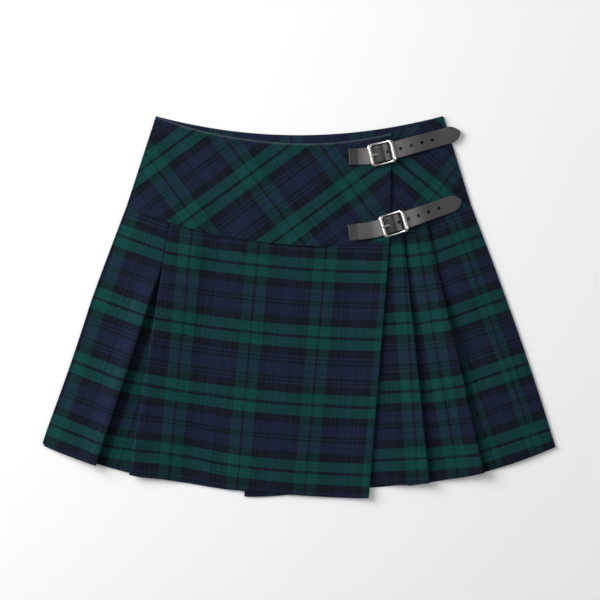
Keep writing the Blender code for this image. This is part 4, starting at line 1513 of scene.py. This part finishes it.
def cross_rod(half, radius):
    """A straight rod along the middle bar."""
    ends = [Vector((0, side * half, BAR_Z)) for side in (-1, 1)]
    return tube(ends, [(radius, radius)] * 2, ROUND_SIDES, [Vector((1, 0, 0))] * 2)


def buckle_frame(strap, matrix):
    """A cast ring, thicker at its two ends, with a fixed bar across the middle."""
    centres, radii, outwards = [], [], []
    for along, across, out in frame_loop():
        centres.append(Vector((along, across, frame_height(along))))
        radii.append((lerp(RAIL_RADIUS, END_BAR_RADIUS, abs(out.x)), RAIL_RADIUS))
        outwards.append(out)
    ring = moved(tube(centres, radii, ROUND_SIDES, outwards, closed=True), matrix)
    obj = mesh_piece(f"nickel_frame_{strap.name}", *ring, nickel())
    cut_or_join(obj, moved(cross_rod(BUCKLE_HALF_WIDTH, BAR_RADIUS), matrix), "UNION")
    return obj


def prong_tube(extra, sides):
    """The prong: a hook round the bar, then a rod through the strap to the near bar."""
    centres, radii = [], []
    for i in range(HOOK_STEPS + 1):
        angle = math.radians(lerp(HOOK_START, HOOK_END, i / HOOK_STEPS))
        spot = Vector((math.cos(angle), 0, math.sin(angle))) * HOOK_PATH
        centres.append(spot + Vector((0, 0, BAR_Z)))
        radii.append(HOOK_RADIUS + extra)
    tip = Vector((-BUCKLE_HALF_LENGTH - PRONG_OVERHANG, 0, PRONG_TIP_Z))
    start = centres[-1]
    for share, radius in PRONG_SHAPE:
        centres.append(start.lerp(tip, share))
        radii.append(radius * PRONG_RADIUS + extra)
    return tube(centres, [(PRONG_FLAT * r, r / PRONG_FLAT) for r in radii], sides, None)


def buckle_prong(strap, matrix):
    """The loose prong, hooked round its bar."""
    prong = moved(prong_tube(0, PRONG_SIDES), matrix)
    return mesh_piece(f"nickel_prong_{strap.name}", *prong, nickel())


def box(low, high):
    """(points, faces) of a straight box."""
    points = [
        Vector((x, y, z)) for x in (low.x, high.x) for y in (low.y, high.y) for z in (low.z, high.z)
    ]
    faces = [(0, 1, 3, 2), (4, 6, 7, 5), (0, 4, 5, 1), (2, 3, 7, 6), (0, 2, 6, 4), (1, 5, 7, 3)]
    return points, faces


def buckle_tab(strap, matrix, height):
    """Leather folded round the bar and sewn to the yoke under the strap."""
    base = matrix.translation.z
    to_buckle = matrix.inverted()
    bend = TAB_BORE + TAB_LEATHER

    def across(along, side):
        """The tab follows the strap's bend, a little to its upper side."""
        x, y = strap_point(strap, max(0.0, along))
        shift = TAB_SHIFT * ramp(along, TAB_FOOT, TAB_SHIFT_END)
        return (to_buckle @ Vector((x, y, 0))).y + shift + side * TAB_HALF

    outline = []
    for i in range(TAB_WRAP_STEPS + 1):
        angle = math.radians(lerp(TAB_WRAP_START, TAB_WRAP_END, i / TAB_WRAP_STEPS))
        outline.append((bend * math.cos(angle), BAR_Z + bend * math.sin(angle)))
    spots = [lerp(TAB_FOOT, strap.tab_length, i / (TAB_SPOTS - 1)) for i in range(TAB_SPOTS)]
    low = [(along, height(along) - base) for along in spots]
    outline += low + [(along, z + TAB_TAIL) for along, z in reversed(low)]
    points, count = [], len(outline)
    for side in (-1, 1):
        points += [Vector((along, across(along, side), z)) for along, z in outline]
    faces = [tuple(range(count)), tuple(range(count, 2 * count))]
    for k in range(count):
        after = (k + 1) % count
        faces.append((k, after, count + after, count + k))
    shape = moved((points, faces), matrix)
    tab = mesh_piece(f"leather_tab_{strap.name}", *shape, leather())
    for cut in (cross_rod(TAB_HALF + MM, TAB_BORE), box(Vector(SLOT_LOW), Vector(SLOT_HIGH))):
        cut_or_join(tab, moved(cut, matrix), "DIFFERENCE")
    tab.data.set_sharp_from_angle(angle=math.radians(SHARP_ANGLE))
    return tab


def punch_holes(body, strap, matrix, height):
    """The prong's slot and the row of round holes, whose rims are pressed in a little."""
    slot = prong_tube(PRONG_CLEARANCE, ROUND_SIDES)
    cut_or_join(body, moved(slot, matrix), "DIFFERENCE")
    for along in strap.holes:
        x, y = strap_point(strap, along)
        middle = strap_middle(strap, height, along)
        top = middle + LEATHER / 2
        heights = (middle - HOLE_CUT, top - HOLE_RIM, top + LEATHER_DOME, middle + HOLE_CUT)
        radii = (HOLE_RADIUS, HOLE_RADIUS, HOLE_RADIUS + HOLE_RIM, HOLE_RADIUS + HOLE_RIM)
        centres = [Vector((x, y, z)) for z in heights]
        punch = tube(centres, [(r, r) for r in radii], HOLE_SIDES, None)
        cut_or_join(body, punch, "DIFFERENCE")
    body.data.set_sharp_from_angle(angle=math.radians(SHARP_ANGLE))


def stitch_tree():
    """Geometry Nodes that lay a stitch on each spot of an even walk round a path."""
    tree = bpy.data.node_groups.new("box stitch", "GeometryNodeTree")
    sockets = tree.interface
    sockets.new_socket("Geometry", in_out="OUTPUT", socket_type="NodeSocketGeometry")
    sockets.new_socket("Geometry", in_out="INPUT", socket_type="NodeSocketGeometry")
    for name in ("Stitch length", "Thread radius"):
        sockets.new_socket(name, in_out="INPUT", socket_type="NodeSocketFloat")
    sockets.new_socket("Material", in_out="INPUT", socket_type="NodeSocketMaterial")
    given = add(tree, "NodeGroupInput").outputs
    curve = add(tree, "GeometryNodeMeshToCurve", {"Mesh": given["Geometry"]})
    spots = add(
        tree, "GeometryNodeResampleCurve",
        {"Curve": curve.outputs[0], "Length": given["Stitch length"]}, mode="LENGTH",
    )
    bead = add(
        tree, "GeometryNodeMeshUVSphere",
        {"Segments": STITCH_SIDES, "Rings": STITCH_RINGS, "Radius": given["Thread radius"]},
    )
    reach = add(
        tree, "ShaderNodeMath",
        {0: given["Stitch length"], 1: given["Thread radius"]}, operation="DIVIDE",
    )
    drawn = add(tree, "ShaderNodeMath", {0: reach.outputs[0], 1: STITCH_SHARE}, operation="MULTIPLY")
    scale = add(tree, "ShaderNodeCombineXYZ", {0: 1.0, 1: 1.0, 2: drawn.outputs[0]})
    tangent = add(tree, "GeometryNodeInputTangent")
    turned = add(
        tree, "FunctionNodeAlignRotationToVector", {"Vector": tangent.outputs[0]}, axis="Z"
    )
    laid_out = add(
        tree, "GeometryNodeInstanceOnPoints",
        {
            "Points": spots.outputs[0],
            "Instance": bead.outputs[0],
            "Rotation": turned.outputs[0],
            "Scale": scale.outputs[0],
        },
    )
    real = add(tree, "GeometryNodeRealizeInstances", {"Geometry": laid_out.outputs[0]})
    smooth = add(tree, "GeometryNodeSetShadeSmooth", {"Geometry": real.outputs[0]})
    painted = add(
        tree, "GeometryNodeSetMaterial",
        {"Geometry": smooth.outputs[0], "Material": given["Material"]},
    )
    add(tree, "NodeGroupOutput", {"Geometry": painted.outputs[0]})
    return tree


def box_stitches(strap, height, tree):
    """The square of sewing that holds a strap's left end to the skirt."""
    first, last = SEAM_INSET - strap.left_length, SEWN_LENGTH - strap.left_length
    side = STRAP_HALF - SEAM_INSET
    corners = ((first, -side), (last, -side), (last, side), (first, side))
    points = []
    for (a, b), (c, d) in zip(corners, corners[1:] + corners[:1]):
        for i in range(STITCH_PATH_STEPS):
            share = i / STITCH_PATH_STEPS
            along, across = lerp(a, c, share), lerp(b, d, share)
            dome = LEATHER_DOME * (1 - (across / STRAP_HALF) ** 2)
            z = strap_middle(strap, height, along) + LEATHER / 2 + dome
            points.append((*strap_place(strap, along, across), z))
    mesh = bpy.data.meshes.new("path")
    mesh.from_pydata(points, [(i, (i + 1) % len(points)) for i in range(len(points))], [])
    obj = bpy.data.objects.new(f"thread_box_{strap.name}", mesh)
    bpy.context.scene.collection.objects.link(obj)
    sewing = obj.modifiers.new("stitches", "NODES")
    sewing.node_group = tree
    settings = bpy.context.scene.skirt_strap
    values = {
        "Stitch length": settings.stitch,
        "Thread radius": THREAD_RADIUS,
        "Material": sewing_thread(),
    }
    for item in tree.interface.items_tree:
        if item.in_out == "INPUT" and item.name in values:
            sewing[item.identifier] = values[item.name]
    graph = bpy.context.evaluated_depsgraph_get()
    sewn = bpy.data.meshes.new_from_object(obj.evaluated_get(graph))
    obj.modifiers.remove(sewing)
    obj.data = sewn
    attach(obj, BODY)
    return obj


# Materials


def plug(node, inputs):
    """Links a node's inputs to other nodes' outputs, or sets their values."""
    for socket, source in inputs.items():
        if isinstance(source, bpy.types.NodeSocket):
            node.id_data.links.new(source, node.inputs[socket])
        else:
            node.inputs[socket].default_value = source


def add(tree, kind, inputs=None, **settings):
    """Adds a node with its settings, and sets or links its inputs."""
    node = tree.nodes.new(kind)
    for key, value in settings.items():
        setattr(node, key, value)
    plug(node, inputs or {})
    return node


def named_material(name):
    """Turns a recipe for a shader into a function that gives its material, made only once."""

    def with_recipe(recipe):
        def made_once():
            if name not in bpy.data.materials:
                material = bpy.data.materials.new(name)
                material.use_nodes = True
                recipe(material.node_tree, material.node_tree.nodes["Principled BSDF"])
            return bpy.data.materials[name]

        return made_once

    return with_recipe


def limits(known, wanted):
    """Inputs of a Map Range node, from the known range of a value to the wanted one."""
    return dict(enumerate((*known, *wanted), start=1))


def sett_colour(tree, threads, fold):
    """Colour of the yarn at a thread, by the order of the stripes."""
    cloth = bpy.context.scene.skirt_cloth
    yarns = {"blue": linear(cloth.blue), "green": linear(cloth.green), "black": linear(cloth.black)}
    folded = add(tree, "ShaderNodeMath", {0: threads, 1: fold}, operation="PINGPONG")
    share = add(tree, "ShaderNodeMath", {0: folded.outputs[0], 1: HALF_SETT}, operation="DIVIDE")
    stripes = add(tree, "ShaderNodeValToRGB", {0: share.outputs[0]})
    stripes.color_ramp.interpolation = "CONSTANT"
    elements = stripes.color_ramp.elements
    for number, (start, yarn) in enumerate(SETT):
        spot = elements[number] if number < 2 else elements.new(start / HALF_SETT)
        spot.position = start / HALF_SETT
        spot.color = yarns[yarn]
    return stripes.outputs["Color"]


def counted_threads(tree, flat):
    """Places in the flat cloth, in threads, which wander a little from their straight way."""
    noise = add(
        tree, "ShaderNodeTexNoise", {"Vector": flat, "Scale": 1 / WANDER_LENGTH, "Detail": 2.0}
    )
    drift = add(
        tree, "ShaderNodeVectorMath",
        {0: noise.outputs["Color"], 1: (0.5, 0.5, 0.5)}, operation="SUBTRACT",
    )
    drifted = add(
        tree, "ShaderNodeVectorMath",
        {0: drift.outputs[0], 1: (WANDER, WANDER, 0), 2: flat}, operation="MULTIPLY_ADD",
    )
    counted = add(
        tree, "ShaderNodeVectorMath",
        {0: drifted.outputs[0], "Scale": 1 / thread()}, operation="SCALE",
    )
    return counted.outputs[0]


def twill(tree, counted):
    """1 where the warp is on top, and the places in yarns across and along.

    The weft floats over two yarns and under one, one yarn on in each row.
    """
    scaled = add(
        tree, "ShaderNodeVectorMath", {0: counted, "Scale": YARNS_PER_COUNT}, operation="SCALE"
    )
    yarns = add(tree, "ShaderNodeSeparateXYZ", {0: scaled.outputs[0]}).outputs[:2]
    rows = [add(tree, "ShaderNodeMath", {0: yarn}, operation="FLOOR").outputs[0] for yarn in yarns]
    order = add(tree, "ShaderNodeMath", {0: rows[0], 1: rows[1]})
    step = add(
        tree, "ShaderNodeMath", {0: order.outputs[0], 1: TWILL_REPEAT}, operation="FLOORED_MODULO"
    )
    over = add(tree, "ShaderNodeMath", {0: step.outputs[0], 1: 0.5}, operation="LESS_THAN")
    return over.outputs[0], yarns


def yarn_shade(tree, counted, flecks):
    """Yarns differ a little in depth of colour, in streaks along both ways of the cloth."""
    streaks = []
    for scale in ((STREAK_ACROSS, STREAK_ALONG, 1), (STREAK_ALONG, STREAK_ACROSS, 1)):
        drawn = add(tree, "ShaderNodeVectorMath", {0: counted, 1: scale}, operation="MULTIPLY")
        values = {"Vector": drawn.outputs[0], "Scale": 1.0, "Detail": 3.0}
        streaks.append(add(tree, "ShaderNodeTexNoise", values).outputs[0])
    both = add(tree, "ShaderNodeMath", {0: streaks[0], 1: streaks[1]}).outputs[0]
    shades = []
    for value, bounds in ((both, (SUM_RANGE, STREAK_SHADES)), (flecks, (NOISE_RANGE, FLECK_SHADES))):
        shades.append(add(tree, "ShaderNodeMapRange", {"Value": value, **limits(*bounds)}))
    shade = add(
        tree, "ShaderNodeMath",
        {0: shades[0].outputs[0], 1: shades[1].outputs[0]}, operation="MULTIPLY",
    )
    return shade.outputs[0]


def with_painted_edge_light(tree, colour):
    """The cloth's colour, lightened by a painted highlight along a fold or an edge."""
    painted_edge_light = add(tree, "ShaderNodeAttribute", attribute_name="painted_edge_light")
    near = add(tree, "ShaderNodeMath", {0: painted_edge_light.outputs["Fac"], 1: EDGE_LIGHT_FALL}, operation="POWER")
    edge_light_amount = add(tree, "ShaderNodeMath", {0: near.outputs[0], 1: EDGE_LIGHT_SHARE}, operation="MULTIPLY")
    # The painted highlight's colour
    hairs = linear(bpy.context.scene.skirt_cloth.painted_edge_light)
    mixed = add(
        tree, "ShaderNodeMix", {"Factor": edge_light_amount.outputs[0], 6: colour, 7: hairs}, data_type="RGBA"
    )
    return mixed.outputs[2]


def yarn_relief(tree, over, yarns, flecks):
    """Each yarn that is on top is round, and hairs stand on it."""
    hollows = []
    for yarn in yarns:
        place = add(tree, "ShaderNodeMath", {0: yarn}, operation="FRACT")
        centred = add(tree, "ShaderNodeMath", {0: place.outputs[0], 1: 0.5}, operation="SUBTRACT")
        hollow = add(tree, "ShaderNodeMath", {0: centred.outputs[0], 1: 2.0}, operation="POWER")
        hollows.append(hollow.outputs[0])
    deep = add(tree, "ShaderNodeMix", {0: over, 2: hollows[1], 3: hollows[0]}, data_type="FLOAT")
    height = add(
        tree, "ShaderNodeMath",
        {0: deep.outputs[0], 1: YARN_ROUNDNESS, 2: flecks}, operation="MULTIPLY_ADD",
    )
    relief = add(
        tree, "ShaderNodeBump",
        {"Height": height.outputs[0], "Strength": 0.35, "Distance": YARN_RELIEF},
    )
    return relief.outputs[0]


@named_material("wool twill, yarn dyed")
def wool_tartan(tree, shader):
    """Worsted wool in a weft-faced twill, yarn dyed: soft, deep and nearly without shine.

    The eye gets fine slanting ribs, checks whose crossings mix two yarns, and a little
    highlight painted into the colour along a fold or an edge.
    """
    flat = add(tree, "ShaderNodeUVMap", uv_map="flat").outputs[0]
    noise = add(tree, "ShaderNodeTexNoise", {"Vector": flat, "Scale": 1 / FLECK, "Detail": 2.0})
    flecks = noise.outputs[0]
    counted = counted_threads(tree, flat)
    over, yarns = twill(tree, counted)
    warp, weft = add(tree, "ShaderNodeSeparateXYZ", {0: counted}).outputs[:2]
    warp_colour = sett_colour(tree, warp, HALF_SETT / 2)
    weft_colour = sett_colour(tree, weft, HALF_SETT)
    dyed = add(
        tree, "ShaderNodeMix", {0: over, 6: weft_colour, 7: warp_colour}, data_type="RGBA"
    )
    shaded = add(
        tree, "ShaderNodeVectorMath",
        {0: dyed.outputs[2], "Scale": yarn_shade(tree, counted, flecks)}, operation="SCALE",
    )
    surface = {
        "Base Color": with_painted_edge_light(tree, shaded.outputs[0]),
        "Normal": yarn_relief(tree, over, yarns, flecks),
        "Roughness": 0.88,
        "Specular IOR Level": 0.08,
        "Sheen Weight": 0.04,
        "Sheen Roughness": 0.45,
    }
    plug(shader, surface)


@named_material("black waxed leather")
def leather(tree, shader):
    """Smooth black leather, dyed and waxed: a fine pebbled grain that breaks a soft shine.

    The eye gets near black where it lies flat, broad grey highlights where it bends, and
    a grey highlight painted into its colour near the buckle, which fades along the strap.
    grey where the buckle has rubbed it.
    """
    place = add(tree, "ShaderNodeTexCoord").outputs["Object"]
    pebbles = add(
        tree, "ShaderNodeTexVoronoi", {"Vector": place, "Scale": 1 / PEBBLE}, feature="SMOOTH_F1"
    )
    wrinkles = add(
        tree, "ShaderNodeTexNoise",
        {"Vector": place, "Scale": 1 / WRINKLE, "Detail": 4.0, "Distortion": 0.6},
    ).outputs[0]
    height = add(
        tree, "ShaderNodeMath",
        {0: wrinkles, 1: WRINKLE_SHARE, 2: pebbles.outputs[0]}, operation="MULTIPLY_ADD",
    )
    relief = add(
        tree, "ShaderNodeBump",
        {"Height": height.outputs[0], "Strength": 0.25, "Distance": LEATHER_RELIEF},
    )
    worn = add(
        tree, "ShaderNodeMapRange", {"Value": wrinkles, **limits(NOISE_RANGE, LEATHER_ROUGHNESS)}
    )
    # Painted highlight: the dye is mixed towards grey by this share
    painted_light = add(tree, "ShaderNodeAttribute", attribute_name="painted_light").outputs["Fac"]
    strap = bpy.context.scene.skirt_strap
    colours = {"Factor": painted_light, 6: linear(strap.leather), 7: linear(strap.painted_light)}
    dye = add(tree, "ShaderNodeMix", colours, data_type="RGBA")
    plug(shader, {"Base Color": dye.outputs[2]})
    plug(shader, {"Roughness": worn.outputs[0], "Normal": relief.outputs[0]})


@named_material("waxed polyester thread")
def sewing_thread(tree, shader):
    """Waxed polyester thread, twisted: small round stitches that shine a little."""
    place = add(tree, "ShaderNodeTexCoord").outputs["Object"]
    twist = add(
        tree, "ShaderNodeTexWave",
        {"Vector": place, "Scale": WAVE_CRESTS / TWIST, "Distortion": 1.5},
        bands_direction="DIAGONAL",
    )
    relief = add(
        tree, "ShaderNodeBump",
        {"Height": twist.outputs[1], "Strength": 0.4, "Distance": TWIST_RELIEF},
    )
    colour = linear(bpy.context.scene.skirt_strap.thread)
    plug(shader, {"Base Color": colour, "Roughness": 0.45, "Normal": relief.outputs[0]})


@named_material("polished nickel plate")
def nickel(tree, shader):
    """Polished nickel plate: a bright, slightly warm metal with soft, clear reflections."""
    metal = bpy.context.scene.skirt_metal
    place = add(tree, "ShaderNodeTexCoord").outputs["Object"]
    handled = add(tree, "ShaderNodeTexNoise", {"Vector": place, "Scale": 1 / HANDLED})
    polish = [share * metal.roughness for share in HANDLED_SHARES]
    dulled = add(
        tree, "ShaderNodeMapRange", {"Value": handled.outputs[0], **limits(NOISE_RANGE, polish)}
    )
    colour = linear(metal.nickel)
    plug(shader, {"Base Color": colour, "Roughness": dulled.outputs[0], "Metallic": 1.0})


@named_material("matt studio paper")
def studio_paper(tree, shader):
    """Seamless studio paper, matt: an even pale ground that takes a soft shadow."""
    place = add(tree, "ShaderNodeTexCoord").outputs["Object"]
    swells = add(
        tree, "ShaderNodeTexNoise", {"Vector": place, "Scale": 1 / PAPER_SWELL, "Detail": 2.0}
    )
    relief = add(
        tree, "ShaderNodeBump",
        {"Height": swells.outputs[0], "Strength": 0.05, "Distance": PAPER_RELIEF},
    )
    colour = linear(bpy.context.scene.skirt_studio.floor)
    plug(shader, {"Base Color": colour, "Roughness": 0.9, "Normal": relief.outputs[0]})


# Studio


def lay_floor(scene):
    """A wide sheet of paper, just below the plane that the skirt lies on."""
    signs = ((-1, -1), (1, -1), (1, 1), (-1, 1))
    points = [(FLOOR_HALF * x, FLOOR_HALF * y, -FLOOR_DEPTH) for x, y in signs]
    mesh = bpy.data.meshes.new("floor")
    mesh.from_pydata(points, [], [(0, 1, 2, 3)])
    mesh.materials.append(studio_paper())
    floor = bpy.data.objects.new("floor", mesh)
    scene.collection.objects.link(floor)


def light_studio(scene):
    """Square softboxes that face the middle of the skirt, in a faintly lit white room."""
    for lamp in LAMPS:
        light = bpy.data.lights.new(lamp.name, "AREA")
        light.shape = "SQUARE"
        light.size = lamp.width
        light.energy = lamp.power
        obj = bpy.data.objects.new(lamp.name, light)
        obj.location = lamp.place
        obj.rotation_euler = (-Vector(lamp.place)).to_track_quat("-Z", "Y").to_euler()
        scene.collection.objects.link(obj)
    world = bpy.data.worlds.new("studio")
    world.use_nodes = True
    plug(world.node_tree.nodes["Background"], {"Color": (1, 1, 1, 1), "Strength": WORLD_STRENGTH})
    scene.world = world
    scene.view_settings.view_transform = "Standard"


def set_camera(scene):
    """A camera straight above, whose lens takes in the view's width of the floor."""
    studio = scene.skirt_studio
    lens = bpy.data.cameras.new("camera")
    lens.sensor_width = SENSOR_WIDTH
    lens.lens = lens.sensor_width * studio.height / studio.view_width
    camera = bpy.data.objects.new("camera", lens)
    camera.location = (*VIEW_MIDDLE, studio.height)
    scene.collection.objects.link(camera)
    scene.camera = camera


# Operators


class SKIRT_OT_back(bpy.types.Operator):
    """Makes the back: panel, yoke and the facing inside the waist"""

    bl_idname = "skirt.back"
    bl_label = "Back"

    def execute(self, context):
        panel = finish_piece(back_panel(), "back_panel")
        yoke = finish_piece(back_yoke(), "back_yoke")
        facing = finish_piece(back_facing(), "back_facing")
        return {"FINISHED"}


class SKIRT_OT_under_front(bpy.types.Operator):
    """Makes the under layer of the front: pleated panel and under yoke"""

    bl_idname = "skirt.under_front"
    bl_label = "Under front"

    def execute(self, context):
        panel = finish_piece(pleated_front(), "pleated_front")
        yoke = finish_piece(under_yoke(), "under_yoke")
        return {"FINISHED"}


class SKIRT_OT_over_front(bpy.types.Operator):
    """Makes the upper layer of the front: over-apron and front yoke"""

    bl_idname = "skirt.over_front"
    bl_label = "Over front"

    def execute(self, context):
        panel = finish_piece(front_apron(), "front_apron")
        yoke = finish_piece(front_yoke(), "front_yoke")
        return {"FINISHED"}


class SKIRT_OT_straps(bpy.types.Operator):
    """Makes the two leather straps with their holes and sewing, and the buckles' tabs"""

    bl_idname = "skirt.straps"
    bl_label = "Straps"

    def execute(self, context):
        tree = stitch_tree()
        for strap in STRAPS:
            height = resting_heights(strap)
            matrix = buckle_matrix(strap, height)
            body = strap_body(strap, height)
            punch_holes(body, strap, matrix, height)
            finish_piece(body, f"strap_{strap.name}")
            tab = buckle_tab(strap, matrix, height)
            finish_piece(tab, f"buckle_tab_{strap.name}")
            box_stitches(strap, height, tree)
        return {"FINISHED"}


class SKIRT_OT_buckles(bpy.types.Operator):
    """Makes the metal frames with their middle bars, and the prongs"""

    bl_idname = "skirt.buckles"
    bl_label = "Buckles"

    def execute(self, context):
        for strap in STRAPS:
            matrix = buckle_matrix(strap, resting_heights(strap))
            frame_piece = buckle_frame(strap, matrix)
            finish_piece(frame_piece, f"buckle_frame_{strap.name}")
            prong = buckle_prong(strap, matrix)
            finish_piece(prong, f"buckle_prong_{strap.name}")
        return {"FINISHED"}


class SKIRT_OT_stage(bpy.types.Operator):
    """Sets up the pale floor, the soft studio light and the camera"""

    bl_idname = "skirt.stage"
    bl_label = "Studio"

    def execute(self, context):
        lay_floor(context.scene)
        light_studio(context.scene)
        set_camera(context.scene)
        return {"FINISHED"}


class SKIRT_PT_panel(bpy.types.Panel):
    """Sidebar panel with the skirt's pieces and sizes"""

    bl_label = "Tartan skirt"
    bl_idname = "SKIRT_PT_panel"
    bl_space_type = "VIEW_3D"
    bl_region_type = "UI"
    bl_category = "Skirt"

    def draw(self, context):
        layout = self.layout
        for operator in OPERATORS:
            layout.operator(operator.bl_idname)
        for settings in SETTINGS:
            group = getattr(context.scene, settings)
            for name in group.bl_rna.properties.keys():
                if name not in {"rna_type", "name"}:
                    layout.prop(group, name)


SETTINGS = {
    "skirt_cloth": ClothSettings,
    "skirt_strap": StrapSettings,
    "skirt_metal": MetalSettings,
    "skirt_studio": StudioSettings,
}
OPERATORS = (
    SKIRT_OT_back,
    SKIRT_OT_under_front,
    SKIRT_OT_over_front,
    SKIRT_OT_straps,
    SKIRT_OT_buckles,
    SKIRT_OT_stage,
)


def register():
    for kind in (*SETTINGS.values(), *OPERATORS, SKIRT_PT_panel):
        bpy.utils.register_class(kind)
    for name, kind in SETTINGS.items():
        setattr(bpy.types.Scene, name, bpy.props.PointerProperty(type=kind))


def unregister():
    for name in SETTINGS:
        delattr(bpy.types.Scene, name)
    for kind in reversed((*SETTINGS.values(), *OPERATORS, SKIRT_PT_panel)):
        bpy.utils.unregister_class(kind)


def main():
    register()
    bpy.ops.skirt.back()
    bpy.ops.skirt.under_front()
    bpy.ops.skirt.over_front()
    bpy.ops.skirt.straps()
    bpy.ops.skirt.buckles()
    bpy.ops.skirt.stage()


if __name__ == "__main__":
    main()
